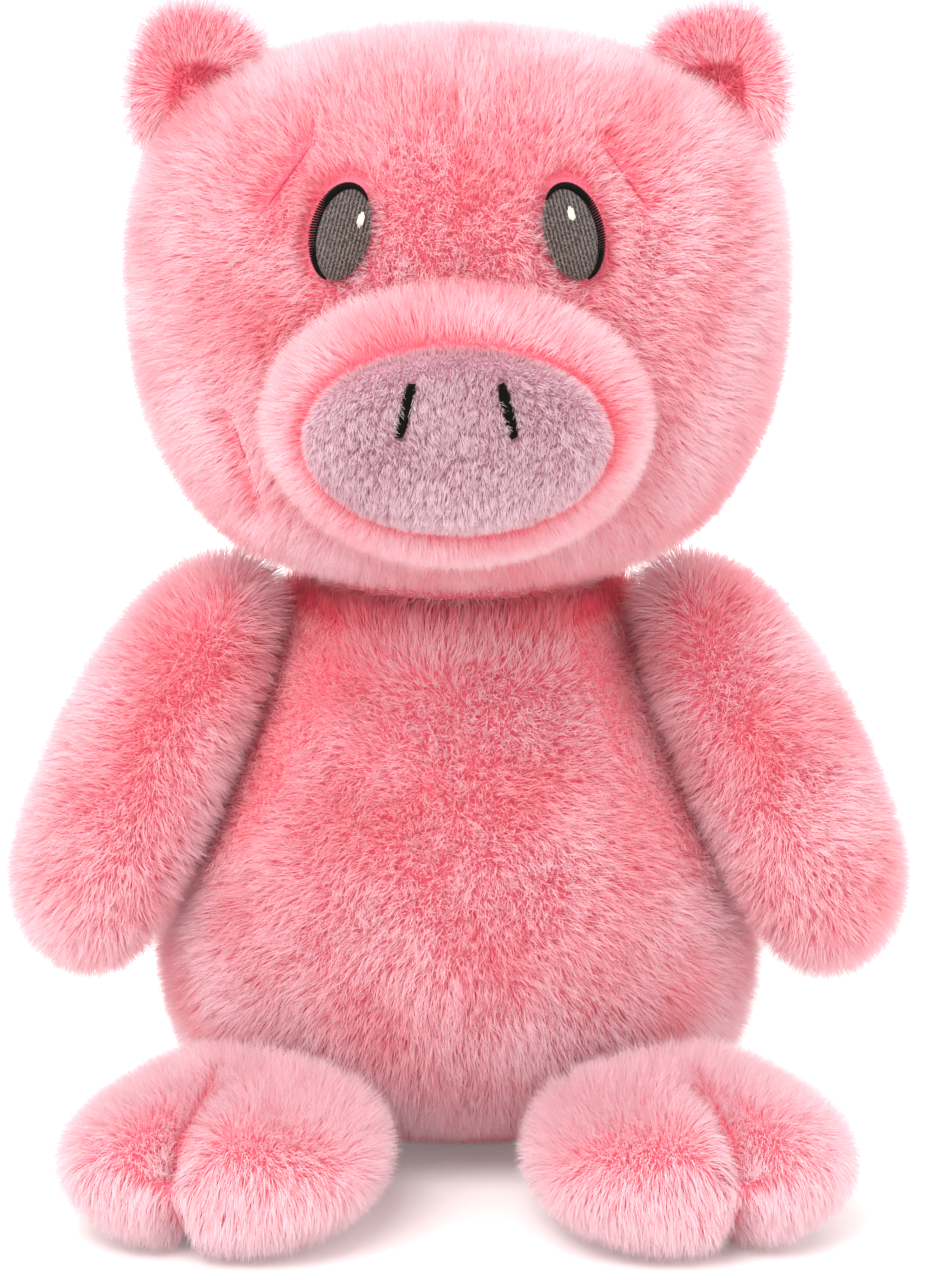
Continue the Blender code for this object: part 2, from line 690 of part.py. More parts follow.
def oval_ring(middle, lean, inner, outer, lift, thickness):
    """A thin band between two ovals, laid on the face."""
    steps = ((inner, lift), (outer, lift), (outer, lift + thickness), (inner, lift + thickness))
    patch = Patch()
    table = patch.add_rows(np.array([oval_loop(middle, lean, *size, off, PATCH_SIDES) for size, off in steps]))
    patch.grid(table + [table[0]], True)
    return patch.points, patch.faces


def make_eyes():
    pivot = neck_pivot()
    lift = GAP * 2
    for side, hand in HANDS:
        lean = math.radians(EYE_LEAN_DEG) * hand
        middle = (EYE_X * hand, EYE_Z)
        solid = oval_pad(middle, lean, EYE_HALF_WIDTH, EYE_HALF_HEIGHT, lift, PATCH)
        object_from("eye_patch_" + side, *solid, KNIT_GREY, pivot)
        inner = np.array((EYE_HALF_WIDTH + GAP, EYE_HALF_HEIGHT + GAP))
        solid = oval_ring(middle, lean, inner, inner + EYE_RIM, lift, PATCH)
        object_from("eye_rim_" + side, *solid, THREAD_BLACK, pivot)
        across = glint_across_shares[side] * EYE_HALF_WIDTH
        place = (middle[0] + across, middle[1] + GLINT_UP_SHARE * EYE_HALF_HEIGHT)
        solid = oval_pad(place, lean, GLINT_WIDTH / 2, GLINT_LENGTH / 2, lift + PATCH + GAP, THREAD, GLINT_SIDES)
        object_from("eye_glint_" + side, *solid, THREAD_CREAM, pivot)


def make_tucks():
    """Stitched creases: one over each eye, rising to the middle, and one beside the muzzle."""
    pivot = neck_pivot()
    for side, hand in HANDS:
        lean = math.radians(BROW_LEAN_DEG) * hand
        stitched_line(
            "brow_tuck_" + side, (BROW_X * hand, BROW_Z), lean, BROW_LENGTH, THREAD, face_y, THREAD_PINK, pivot
        )
    lean = math.radians(SMILE_LEAN_DEG)
    stitched_line("smile_tuck", (-SMILE_X, SMILE_Z), lean, SMILE_LENGTH, THREAD, face_y, THREAD_PINK, pivot)


# Ears
def ear_base(hand):
    """The two ends of the ear's base seam, which is its hinge."""
    slope = math.radians(EAR_SLOPE_DEG)
    middle = np.array((EAR_X * hand, -HEAD_FORWARD, EAR_Z))
    along = np.array((math.cos(slope) * hand, 0.0, -math.sin(slope)))
    return middle - along * EAR_BASE_HALF, middle + along * EAR_BASE_HALF


def ear_frame(hand):
    start, end = ear_base(hand)
    along = (end - start) / np.linalg.norm(end - start)
    out = np.array((-along[2] * hand, 0.0, along[0] * hand))
    return (start + end) / 2, along, out


def ear_rows(hand):
    """The ear from its rolled root to its tip. It is cupped forward."""
    middle, along, out = ear_frame(hand)
    rows = []
    for share, width, deep in zip(ear_rise_shares, ear_width_shares, ear_thick_shares):
        centre = middle + out * (share * EAR_HEIGHT) - along * (share * EAR_LEAN)
        row = []
        for j in range(EAR_SIDES):
            angle = 2 * math.pi * j / EAR_SIDES
            c, s = math.cos(angle), math.sin(angle)
            cup = -EAR_CUP * (c * c) * math.sin(math.pi * share)
            row.append(centre + along * (width * EAR_BASE_HALF * c) + BACK * (deep * EAR_ROOT * s + cup))
        rows.append(row)
    return np.array(rows)


def make_ears():
    """Each ear is one form, split along its middle plane into the pile back and the lining."""
    for side, hand in HANDS:
        middle, along, _ = ear_frame(hand)
        form = closed_form(ear_rows(hand))
        root = cutter_from("ear_root_" + side, *rod(*ear_base(hand), EAR_ROOT, BORE_SIDES))
        crowns = []
        for angle in (0.0, -EAR_FORWARD_DEG, EAR_BACK_DEG):
            crown = turned(inset(head_rows(), UP, -GAP), middle, along * hand, angle)
            crowns.append(cutter_from("crown_" + side, *closed_form(crown)))
        for name, away, finish in (("ear_lining_", -BACK, LINING_PINK), ("ear_back_", BACK, PILE_PINK)):
            solid = object_from(name + side, *form, finish, middle)
            other_half = cutter_from(name + "split_" + side, *half_space(middle + away * SEAM_HALF, -away))
            cut(unite(cut(solid, *crowns), root), other_half)


# Arms
def arm_axis(hand):
    """The outward direction of the shoulder, about which the arm swings."""
    tilt, yaw = math.radians(ARM_TILT_DEG), math.radians(ARM_YAW_DEG)
    return np.array((math.cos(tilt) * math.cos(yaw) * hand, -math.cos(tilt) * math.sin(yaw), math.sin(tilt)))


def arm_frame(hand):
    """The arm's top, its direction down the shoulder's plane, and its fore and aft direction."""
    normal = arm_axis(hand)
    down = -UP + normal * normal[2]
    down /= np.linalg.norm(down)
    ahead = np.cross(normal, down) * hand
    offset = ARM_PLANE + GAP + ARM_IN - ARM_FLAT
    x = (offset - normal[1] * ARM_TOP_Y - normal[2] * ARM_TOP_Z) / normal[0]
    top = np.array((x, ARM_TOP_Y, ARM_TOP_Z))
    return top, down, ahead, normal


def arm_pivot(hand):
    top, down, _, normal = arm_frame(hand)
    return top + down * ARM_PIVOT - normal * (ARM_IN - ARM_FLAT)


def arm_rows(hand):
    top, down, ahead, normal = arm_frame(hand)
    rows = []
    for share, width, out in zip(arm_length_shares, arm_width_shares, arm_out_shares):
        centre = top + down * (share * ARM_LENGTH)
        row = []
        for j in range(LIMB_SIDES):
            angle = 2 * math.pi * j / LIMB_SIDES
            c, s = math.cos(angle), math.sin(angle)
            thick = ARM_IN if s < 0 else ARM_OUT
            row.append(centre + ahead * (width * ARM_HALF_WIDTH * c) + normal * (out * thick * s))
        rows.append(row)
    return np.array(rows)


def facing(rows, axis):
    """1 if the rows' normals point out, and -1 if the order round a section turns them in."""
    middle = rows.mean(axis=1, keepdims=True)
    return 1 if ((rows - middle) * row_normals(rows, axis)).sum() > 0 else -1


def make_arms():
    for side, hand in HANDS:
        _, down, _, normal = arm_frame(hand)
        pivot = arm_pivot(hand)
        rows = arm_rows(hand)
        turn = facing(rows, down)
        chest = cutter_from("chest_plane_" + side, *half_space(normal * (ARM_PLANE + GAP), -normal))
        for name, columns, away in (
            ("arm_inner_" + side, front_columns(LIMB_SIDES), -normal),
            ("arm_outer_" + side, back_columns(LIMB_SIDES), normal),
        ):
            points, faces = half_panel(rows, down * turn, SKIN * turn, columns, away)
            cut(object_from(name, points, faces, PILE_PINK, pivot), chest)
        points, faces = closed_form(coarse(inset(rows, down * turn, (SKIN + GAP) * turn)))
        core = object_from("arm_stuffing_" + side, points, faces, FIBRE_WHITE, pivot)
        inner_plane = normal * (ARM_PLANE + GAP)
        cut(core, cutter_from("chest_core_" + side, *half_space(inner_plane, -normal)))


# Feet
def foot_centre(hand):
    return np.array((FOOT_X * hand, FOOT_Y, FOOT_Z))


def foot_frame(hand):
    """The foot's forward and sideways directions. Sideways is to the outer side."""
    splay = math.radians(FOOT_SPLAY_DEG)
    ahead = np.array((math.sin(splay) * hand, -math.cos(splay), 0.0))
    outside = np.array((math.cos(splay) * hand, math.sin(splay), 0.0))
    return ahead, outside


def foot_sections():
    """Places along the foot from the back of the heel, with half widths and half heights."""
    places, widths, heights = [], [], []
    for polar_deg in heel_polar_degs:
        polar = math.radians(polar_deg)
        places.append(-FOOT_HEEL * math.cos(polar))
        widths.append(FOOT_HEEL * math.sin(polar))
        heights.append(FOOT_HEEL * math.sin(polar))
    for share, width, height in zip(foot_length_shares, foot_width_shares, foot_height_shares):
        places.append(share * FOOT_LENGTH)
        widths.append(width * FOOT_HALF_WIDTH)
        heights.append(height * FOOT_HALF_HEIGHT)
    return places, widths, heights


def foot_angles():
    """Angles round a section: over the upper side by shares across, then evenly under the sole."""
    upper = [math.acos(share) for share in foot_across_shares]
    lower = [math.pi + math.pi * k / FOOT_UNDER_SIDES for k in range(1, FOOT_UNDER_SIDES)]
    return upper + lower


def foot_upper_columns():
    return list(range(len(foot_across_shares)))


def foot_sole_columns():
    count = len(foot_angles())
    return [j % count for j in range(len(foot_across_shares) - 1, count + 1)]


def cleft_along(place):
    """From 0 where the groove starts to 1 at the toes."""
    start = FOOT_LENGTH * cleft_start_share
    return min(max((place - start) / (FOOT_LENGTH - start), 0.0), 1.0)


def cleft_across(place):
    first, last = cleft_across_shares
    return FOOT_HALF_WIDTH * (first + (last - first) * cleft_along(place))


def foot_rows(hand, groove=TOE_CLEFT_WIDTH):
    """The foot from its round heel to its two toes, with the groove drawn down and back between them."""
    centre = foot_centre(hand)
    ahead, outside = foot_frame(hand)
    rows = []
    for place, width, height in zip(*foot_sections()):
        row = []
        for angle in foot_angles():
            u, v = width * math.cos(angle), height * math.sin(angle)
            offset = (u - cleft_across(place)) / groove
            dent = TOE_CLEFT * math.sqrt(cleft_along(place)) * math.exp(-offset * offset)
            back = dent * place / FOOT_LENGTH
            if v > 0:
                v -= min(dent, v) * (1 - place / FOOT_LENGTH / 2)
            row.append(centre + ahead * (place - back) + outside * u + UP * v)
        rows.append(row)
    return np.array(rows)


def turned(rows, centre, axis, angle_deg):
    """Rows turned about an axis through a point."""
    turn = Matrix.Rotation(math.radians(angle_deg), 3, Vector(axis))
    spin = np.array(turn)
    return (rows - centre) @ spin.T + centre


def swept_cutter(name, rows, centre, axis, angles, spared):
    """All that a form sweeps, as a piece hinged to it sees it, apart from the piece's own round seat."""
    swept = None
    for angle in angles:
        points, faces = closed_form(turned(inset(rows, UP, -SWING_GAP), centre, axis, angle))
        part = cutter_from(name, points, faces)
        swept = unite(swept, part) if swept else part
    return cut(swept, spared)


def belly_cutter(side, hand):
    centre = foot_centre(hand)
    ahead, _ = foot_frame(hand)
    heel = cutter_from("heel_" + side, *closed_form(ball(centre, FOOT_HEEL + SEAM_HALF)))
    angles = (0.0, -FOOT_UP_DEG, FOOT_DOWN_DEG)
    return swept_cutter("belly_" + side, body_rows(), centre, np.cross(ahead, UP), angles, heel)


def make_feet():
    for side, hand in HANDS:
        centre = foot_centre(hand)
        ahead, _ = foot_frame(hand)
        rows = foot_rows(hand)
        turn = facing(rows, ahead)
        floor = cutter_from("foot_floor_" + side, *half_space(ORIGIN, -UP))
        belly = belly_cutter(side, hand)
        for name, columns, away in (
            ("foot_sole_" + side, foot_sole_columns(), -UP),
            ("foot_upper_" + side, foot_upper_columns(), UP),
        ):
            points, faces = half_panel(rows, ahead * turn, SKIN * turn, columns, away)
            cut(object_from(name, points, faces, PILE_PINK, centre), floor, belly)
        core = inset(foot_rows(hand, TOE_CLEFT_WIDTH + SKIN), ahead * turn, (SKIN + GAP) * turn)
        behind_toes = [i for i, place in enumerate(foot_sections()[0]) if place < FOOT_LENGTH * toe_start_share]
        points, faces = closed_form(core[behind_toes])
        cut(object_from("foot_stuffing_" + side, points, faces, FIBRE_WHITE, centre), belly)
        make_toe_stitch(side, hand, rows, turn)


def make_toe_stitch(side, hand, rows, turn):
    """A thread laid along the bottom of the groove between the toes."""
    centre = foot_centre(hand)
    ahead, outside = foot_frame(hand)
    normals = row_normals(rows, ahead * turn) * turn
    path = []
    for i, place in enumerate(foot_sections()[0]):
        if cleft_along(place) < stitch_start_share or is_point(rows[i]):
            continue
        off = [abs(np.dot(rows[i][j] - centre, outside) - cleft_across(place)) for j in foot_upper_columns()]
        j = int(np.argmin(off))
        lift = Vector(normals[i][j] + UP).normalized()
        path.append(rows[i][j] + np.array(lift) * STITCH_LIFT)
    points, faces = tube(path, [0.0] + [THREAD] * (len(path) - 2) + [0.0], STITCH_SIDES)
    object_from("toe_stitch_" + side, points, faces, THREAD_PINK, centre)


# Tail
def tail_centre():
    rows = body_rows()
    depth = np.interp(TAIL_Z, rows[:, 0, 2], rows[:, BODY_SIDES // 4, 1])
    return np.array((0.0, depth + TAIL_BALL * TAIL_SINK_SHARE, TAIL_Z))


def tube(path, radii, sides):
    """A round tube along a path, with its own radius at each point."""
    path = [Vector(p) for p in path]
    side = None
    rows = []
    for i, (place, radius) in enumerate(zip(path, radii)):
        before, after = path[max(i - 1, 0)], path[min(i + 1, len(path) - 1)]
        along = (after - before).normalized()
        side = along.orthogonal().normalized() if side is None else (side - along * side.dot(along)).normalized()
        other = along.cross(side)
        row = []
        for j in range(sides):
            angle = 2 * math.pi * j / sides
            row.append(np.array(place + side * (radius * math.cos(angle)) + other * (radius * math.sin(angle))))
        rows.append(row)
    return closed_form(np.array(rows))


def make_tail():
    """A short curl of one tube, with a round root that sits in the back panel."""
    root = tail_centre()
    path, radii = [], []
    for i in range(TAIL_ROWS + 1):
        t = i / TAIL_ROWS
        angle = math.radians(TAIL_TURN_DEG) * t
        curl = RIGHT * math.sin(angle) + UP * (1 - math.cos(angle))
        path.append(root + BACK * (TAIL_START_SHARE * TAIL_BALL + TAIL_PITCH * t) + curl * TAIL_CURL)
        radii.append(TAIL_RADIUS * (1 - TAIL_TAPER_SHARE * t) if i < TAIL_ROWS else 0.0)
    points, faces = tube(path, radii, TUBE_SIDES)
    tail = object_from("tail", points, faces, PILE_PINK, root)
    knob = cutter_from("tail_knob", *closed_form(ball(root, TAIL_BALL)))
    unite(tail, knob)


def main():
    clear_scene()
    make_body()
    make_neck()
    make_head()
    make_muzzle()
    make_eyes()
    make_tucks()
    make_ears()
    make_arms()
    make_feet()
    make_tail()


main()
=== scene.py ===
# %% [markdown]
# # A plush pig
# The real thing is a seated soft toy, 30 cm tall, sewn from cloth with a long, erect pink pile. Its body,
# head, arms and feet are stuffed bags of that cloth. What the eye sees is almost only fur: pale tips,
# deeper roots, and shadow wherever tufts part. So this file first makes each stuffed bag as a smooth cloth
# skin, and then plants pile on it as real, tapering blades of mesh, which render anywhere and need no hair
# system.

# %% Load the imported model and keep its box
import math

import bmesh
import bpy
import numpy as np
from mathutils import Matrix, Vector
from mathutils.bvhtree import BVHTree


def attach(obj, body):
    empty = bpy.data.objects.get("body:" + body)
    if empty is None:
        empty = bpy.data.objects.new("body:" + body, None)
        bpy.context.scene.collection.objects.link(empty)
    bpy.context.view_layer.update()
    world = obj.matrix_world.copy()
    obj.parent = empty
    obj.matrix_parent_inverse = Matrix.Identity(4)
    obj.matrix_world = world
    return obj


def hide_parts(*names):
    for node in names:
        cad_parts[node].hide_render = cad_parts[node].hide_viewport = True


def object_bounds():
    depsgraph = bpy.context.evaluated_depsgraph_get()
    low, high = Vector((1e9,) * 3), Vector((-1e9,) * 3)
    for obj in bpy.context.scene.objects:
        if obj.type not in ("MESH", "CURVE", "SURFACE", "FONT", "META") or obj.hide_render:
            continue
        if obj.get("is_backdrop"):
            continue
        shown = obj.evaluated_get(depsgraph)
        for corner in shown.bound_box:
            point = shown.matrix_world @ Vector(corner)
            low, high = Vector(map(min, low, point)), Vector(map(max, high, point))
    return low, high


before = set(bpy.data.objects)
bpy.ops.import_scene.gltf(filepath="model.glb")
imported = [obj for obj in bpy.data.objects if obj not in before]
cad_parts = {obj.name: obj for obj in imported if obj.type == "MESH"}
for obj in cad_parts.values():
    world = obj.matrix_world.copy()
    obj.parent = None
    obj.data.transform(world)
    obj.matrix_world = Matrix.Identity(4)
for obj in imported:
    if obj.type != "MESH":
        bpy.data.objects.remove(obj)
CAD_BOX = [list(corner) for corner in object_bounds()]
MM = 0.001
SCENE = bpy.context.scene
print("box in mm:", [[round(v / MM) for v in corner] for corner in CAD_BOX])

# %% [markdown]
# ## Camera
# The photograph was taken from in front and a little above, with a long lens: the floor shows between the
# feet, and the ears are hardly smaller than the muzzle. A rise of 12 degrees and 1.3 m of distance give that.

# %% Camera
PHOTO_WIDTH, PHOTO_HEIGHT = 949, 1280
CAMERA_DISTANCE = 1.300
CAMERA_RISE = math.radians(12.0)
FOCAL_PIXELS = 4944
SENSOR = 36.0
AIM = Vector((0.0043, 0.0, 0.135))

camera_data = bpy.data.cameras.new("camera")
camera_data.sensor_fit = "VERTICAL"
camera_data.sensor_height = SENSOR
camera_data.lens = FOCAL_PIXELS / PHOTO_HEIGHT * SENSOR
camera = bpy.data.objects.new("camera", camera_data)
away = Vector((0.0, -math.cos(CAMERA_RISE), math.sin(CAMERA_RISE)))
camera.location = AIM + away * CAMERA_DISTANCE
camera.rotation_euler = away.to_track_quat("Z", "Y").to_euler()
SCENE.collection.objects.link(camera)
SCENE.camera = camera
print("lens %.0f mm on a %.0f mm sensor" % (camera_data.lens, SENSOR))

# %% [markdown]
# ## Materials
# Colours are read as sRGB hex values and turned to linear light once. One small function adds a node.

# %% Colour and node helpers
def linear(hex_colour):
    channels = [int(hex_colour[i:i + 2], 16) / 255 for i in (1, 3, 5)]
    return [c / 12.92 if c <= 0.04045 else ((c + 0.055) / 1.055) ** 2.4 for c in channels] + [1.0]


def add_node(tree, kind, links=(), **settings):
    """Adds a node, sets its attributes or inputs, and links (input name, source node, output name)."""
    node = tree.nodes.new("ShaderNode" + kind)
    for key, value in settings.items():
        if hasattr(node, key):
            setattr(node, key, value)
        else:
            node.inputs[key.replace("_", " ")].default_value = value
    for name, source, output in links:
        tree.links.new(source.outputs[output], node.inputs[name])
    return node


def new_material(name, roughness, **sockets):
    """A material with a plain shader; constant sockets are set on the shader itself."""
    made = bpy.data.materials.new(name)
    made.use_nodes = True
    shader = made.node_tree.nodes["Principled BSDF"]
    shader.inputs["Roughness"].default_value = roughness
    for key, value in sockets.items():
        shader.inputs[key.replace("_", " ")].default_value = value
    return made, made.node_tree, shader


def ramp(tree, source, output, stops):
    node = add_node(tree, "ValToRGB", [("Fac", source, output)])
    elements = node.color_ramp.elements
    while len(elements) < len(stops):
        elements.new(0.5)
    for element, (place, colour) in zip(elements, stops):
        element.position = place
        element.color = linear(colour)
    return node


# %% [markdown]
# Pile fibre is dyed acrylic, brushed and heat-set, and half of its light comes through it. Every blade is
# painted deeper pink at the root and paler at the tip; the deeper root is painted shade from inside the pile.
# The blades carry their own map: across it runs the tone of the tuft, from pale to deep pink, which also
# carries painted shade in creases and under parts, and up it runs the way from root to tip.

# %% Brushed acrylic pile
LIGHT_THROUGH = 0.5


def pile_material(name, light_stops, deep_stops, sheen_colour, sheen):
    made, tree, shader = new_material(
        name, 0.75, Sheen_Weight=sheen, Sheen_Roughness=0.5, Sheen_Tint=linear(sheen_colour),
        Specular_IOR_Level=0.25
    )
    place = add_node(tree, "UVMap", uv_map="OFBake")
    parts = add_node(tree, "SeparateXYZ", [("Vector", place, "UV")])
    light = ramp(tree, parts, "Y", light_stops)
    deep = ramp(tree, parts, "Y", deep_stops)
    mix = add_node(tree, "Mix", data_type="RGBA")
    tree.links.new(parts.outputs["X"], mix.inputs["Factor"])
    tree.links.new(light.outputs["Color"], mix.inputs["A"])
    tree.links.new(deep.outputs["Color"], mix.inputs["B"])
    tree.links.new(mix.outputs["Result"], shader.inputs["Base Color"])
    through = add_node(tree, "BsdfTranslucent", [("Color", mix, "Result")])
    both = add_node(tree, "MixShader", [(1, shader, "BSDF"), (2, through, "BSDF")])
    both.inputs["Fac"].default_value = LIGHT_THROUGH
    tree.links.new(both.outputs["Shader"], tree.nodes["Material Output"].inputs["Surface"])
    made.diffuse_color = linear("#F2A0AC")
    return made


PINK_PILE = pile_material(
    "brushed_acrylic_pile_pink",
    ((0.0, "#F89EAE"), (0.20, "#FAD6DE"), (0.50, "#FCE8ED"), (1.0, "#FCEEF2")),
    ((0.0, "#E83C56"), (0.20, "#F2566E"), (0.50, "#F86E84"), (1.0, "#FC8296")),
    "#FFD0D8", 0.05,
)
LINING_PILE = pile_material(
    "brushed_acrylic_pile_ear_lining",
    ((0.0, "#CC3850"), (0.5, "#E0667C"), (1.0, "#F09CAA")),
    ((0.0, "#B02A40"), (0.5, "#C84A60"), (1.0, "#DC7284")),
    "#FFD0D8", 0.05,
)
NOSE_PILE = pile_material(
    "short_brushed_pile_mauve",
    ((0.0, "#DAABB7"), (0.4, "#ECD5DC"), (1.0, "#F7E9EE")),
    ((0.0, "#C48C9C"), (0.4, "#D8AEBC"), (1.0, "#E6C6D2")),
    "#F8E4EC", 0.10,
)

# %% [markdown]
# Under the pile lies its knitted backing. It only shows where tufts part. It is pink and dull, and has the
# fine bump of a warp knit, about 1.2 mm from stitch to stitch.

# %% Knitted backing and yarns
def knit_bump(tree, shader, stitch, depth, strength):
    """Rows of stitches as bump, from the piece's own coordinates in metres."""
    where = add_node(tree, "TexCoord")
    waves = add_node(
        tree, "TexWave", [("Vector", where, "Object")], bands_direction="X", Scale=0.314 / stitch,
        Distortion=1.5, Detail=2.0
    )
    bump = add_node(tree, "Bump", [("Height", waves, "Fac")], Strength=strength, Distance=depth)
    tree.links.new(bump.outputs["Normal"], shader.inputs["Normal"])


def cloth_material(name, colour, roughness, stitch, depth, strength=0.6, **sockets):
    made, tree, shader = new_material(name, roughness, **sockets)
    shader.inputs["Base Color"].default_value = linear(colour)
    made.diffuse_color = linear(colour)
    knit_bump(tree, shader, stitch, depth, strength)
    return made


BACKING = cloth_material("warp_knitted_backing_pink", "#F0768A", 0.95, 1.2 * MM, 0.3 * MM)
NOSE_BACKING = cloth_material("warp_knitted_backing_mauve", "#D29CB0", 0.95, 1.0 * MM, 0.2 * MM)
BLACK_THREAD = cloth_material("satin_stitched_rayon_black", "#0E0A0A", 0.70, 0.45 * MM, 0.2 * MM, 1.0,
                              Specular_IOR_Level=0.12)
CREAM_THREAD = cloth_material("satin_stitched_rayon_cream", "#EFE6D8", 0.45, 0.45 * MM, 0.15 * MM, 1.0)
# The tuck thread is real, and its deep pink is painted shade in the creases where it lies deep in the pile.
PINK_THREAD = cloth_material("sewing_thread_deep_pink", "#D8485E", 0.6, 0.5 * MM, 0.15 * MM, 1.0)

# %% [markdown]
# ## Stuffed forms
# Every stuffed bag is a stack of oval sections, as the pattern cutter's panels give when they are filled.
# The body's sizes are the solids' own, in millimetres: rise, half width, half depth to the front, half
# depth to the back, and how far the section's middle stands behind the neck's. The head's are shares of its
# height, half width and half depth; its upper sides are a few millimetres fuller than the solid's, as in
# the photograph.

# %% Sections of the body and the head
UP, RIGHT, BACK = np.eye(3)[2], np.eye(3)[0], np.eye(3)[1]
body_table = (
    (0.0, 33.2, 29.7, 29.7, 18.0), (5.25, 53.7, 41.6, 41.6, 14.4), (13.5, 64.8, 50.8, 50.8, 9.0),
    (24.0, 72.3, 57.8, 57.8, 4.0), (37.5, 77.0, 63.0, 63.0, 0.0), (52.5, 79.0, 66.0, 66.0, -2.2),
    (69.0, 78.2, 65.3, 65.3, -3.1), (87.0, 74.7, 62.4, 62.4, -3.1), (105.0, 69.5, 57.8, 57.8, -2.2),
    (121.5, 64.0, 52.5, 52.5, -1.1), (135.0, 58.5, 47.2, 47.2, 0.0), (145.5, 53.7, 42.2, 42.2, 0.0),
    (150.0, 50.6, 38.9, 38.9, 0.0),
)
head_rise = np.array((0.0, 0.03, 0.075, 0.13, 0.20, 0.29, 0.39, 0.50, 0.61, 0.71, 0.80, 0.88, 0.945, 0.985,
                      1.0))
head_wide = np.array((0.0, 0.48, 0.68, 0.79, 0.87, 0.945, 0.985, 1.0, 1.0, 0.98, 0.92, 0.80, 0.58, 0.31, 0.0))
head_front = np.array((0.0, 0.58, 0.77, 0.87, 0.94, 0.985, 1.0, 1.0, 0.975, 0.925, 0.845, 0.715, 0.52, 0.28,
                       0.0))
head_behind = np.array((0.0, 0.56, 0.70, 0.80, 0.885, 0.955, 0.995, 1.0, 0.97, 0.91, 0.815, 0.67, 0.48, 0.26,
                        0.0))
HEAD_BOTTOM, HEAD_HEIGHT, HEAD_FORWARD = 154.5 * MM, 141.5 * MM, 6.0 * MM
HEAD_HALF_WIDTH, HEAD_HALF_DEPTH = 84.5 * MM, 67.0 * MM


def unit_of(vector):
    return vector / np.linalg.norm(vector)


def distance(places, centre):
    return np.linalg.norm(places - centre, axis=1)


def circle(count):
    return np.arange(count) * 2 * math.pi / count


def section(centre, side, depth, half_width, front, back, count=32):
    """One oval; its front half reaches against depth, and its back half along it."""
    angles = circle(count)
    reach = np.where(np.sin(angles) < 0, front, back)
    return centre + np.outer(np.cos(angles) * half_width, side) + np.outer(np.sin(angles) * reach, depth)


def body_form():
    return np.array([
        section(UP * z * MM + BACK * shift * MM, RIGHT, BACK, wide * MM, front * MM, back * MM)
        for z, wide, front, back, shift in body_table
    ])


def head_form():
    return np.array([
        section(UP * (HEAD_BOTTOM + rise * HEAD_HEIGHT) - BACK * HEAD_FORWARD, RIGHT, BACK,
                wide * HEAD_HALF_WIDTH, front * HEAD_HALF_DEPTH, behind * HEAD_HALF_DEPTH)
        for rise, wide, front, behind in zip(head_rise, head_wide, head_front, head_behind)
    ])


# %% [markdown]
# An arm is a flattened paddle whose inner side lies on a plane against the body, and is full up to the
# shoulder. A foot is a low loaf with a round heel; a groove, deepest at the toes, parts it in two. Both are
# written once and mirrored by `hand`.

# %% Sections of the limbs
ARM_TILT, ARM_YAW = math.radians(26.0), math.radians(25.0)
ARM_PLANE, ARM_FLAT = 100.8 * MM, 1.5 * MM
ARM_LENGTH, ARM_HALF_WIDTH, ARM_OUT, ARM_IN = 115.5 * MM, 29.0 * MM, 25.5 * MM, 17.0 * MM
ARM_TOP_Y, ARM_TOP_Z = -4.0 * MM, 158.0 * MM
SEAM_GAP = 0.3 * MM
arm_along = (0.0, 0.035, 0.10, 0.20, 0.33, 0.48, 0.63, 0.76, 0.87, 0.945, 0.985, 1.0)
arm_wide = (0.0, 0.37, 0.63, 0.82, 0.93, 0.985, 1.0, 0.97, 0.85, 0.63, 0.36, 0.0)
arm_inner = (0.0, 0.66, 0.90, 0.98, 1.0, 1.0, 1.0, 0.96, 0.84, 0.62, 0.36, 0.0)
arm_thick = (0.0, 0.34, 0.60, 0.80, 0.93, 1.0, 1.0, 0.96, 0.84, 0.62, 0.36, 0.0)


def shoulder_normal(hand):
    flat = math.cos(ARM_TILT)
    return np.array((flat * math.cos(ARM_YAW) * hand, -flat * math.sin(ARM_YAW), math.sin(ARM_TILT)))


def arm_down(hand):
    """The way down along the plane where the arm rests."""
    normal = shoulder_normal(hand)
    return unit_of(-UP + normal * normal[2])


def arm_form(hand):
    normal, down = shoulder_normal(hand), arm_down(hand)
    ahead = np.cross(normal, down) * hand
    offset = ARM_PLANE + SEAM_GAP + ARM_IN - ARM_FLAT
    top_x = (offset - normal[1] * ARM_TOP_Y - normal[2] * ARM_TOP_Z) / normal[0]
    top = np.array((top_x, ARM_TOP_Y, ARM_TOP_Z))
    return np.array([
        section(top + down * along * ARM_LENGTH, ahead, normal, wide * ARM_HALF_WIDTH, inner * ARM_IN,
                thick * ARM_OUT)
        for along, wide, inner, thick in zip(arm_along, arm_wide, arm_inner, arm_thick)
    ])


FOOT_X, FOOT_Y, FOOT_Z, FOOT_SPLAY = 47.5 * MM, -42.0 * MM, 20.0 * MM, math.radians(15.0)
FOOT_LENGTH, FOOT_HEEL, FOOT_HALF_WIDTH, FOOT_HALF_HEIGHT = 78.5 * MM, 20.0 * MM, 40.0 * MM, 20.5 * MM
TOE_CLEFT, TOE_CLEFT_WIDTH, TOE_CLEFT_START = 10.0 * MM, 5.5 * MM, 0.42
TOE_CLEFT_DRIFT = 0.12
foot_along = (0.0, 0.12, 0.26, 0.42, 0.58, 0.72, 0.84, 0.93, 0.982, 1.0)
foot_wide = (0.60, 0.77, 0.91, 0.98, 1.0, 0.985, 0.89, 0.70, 0.40, 0.0)
foot_tall = (0.98, 1.0, 1.0, 1.0, 0.985, 0.94, 0.84, 0.66, 0.39, 0.0)
heel_turns = np.radians((0.0, 28.0, 52.0, 72.0))


def foot_place(hand):
    centre = np.array((FOOT_X * hand, FOOT_Y, FOOT_Z))
    ahead = np.array((math.sin(FOOT_SPLAY) * hand, -math.cos(FOOT_SPLAY), 0.0))
    outside = np.array((math.cos(FOOT_SPLAY) * hand, math.sin(FOOT_SPLAY), 0.0))
    return centre, ahead, outside


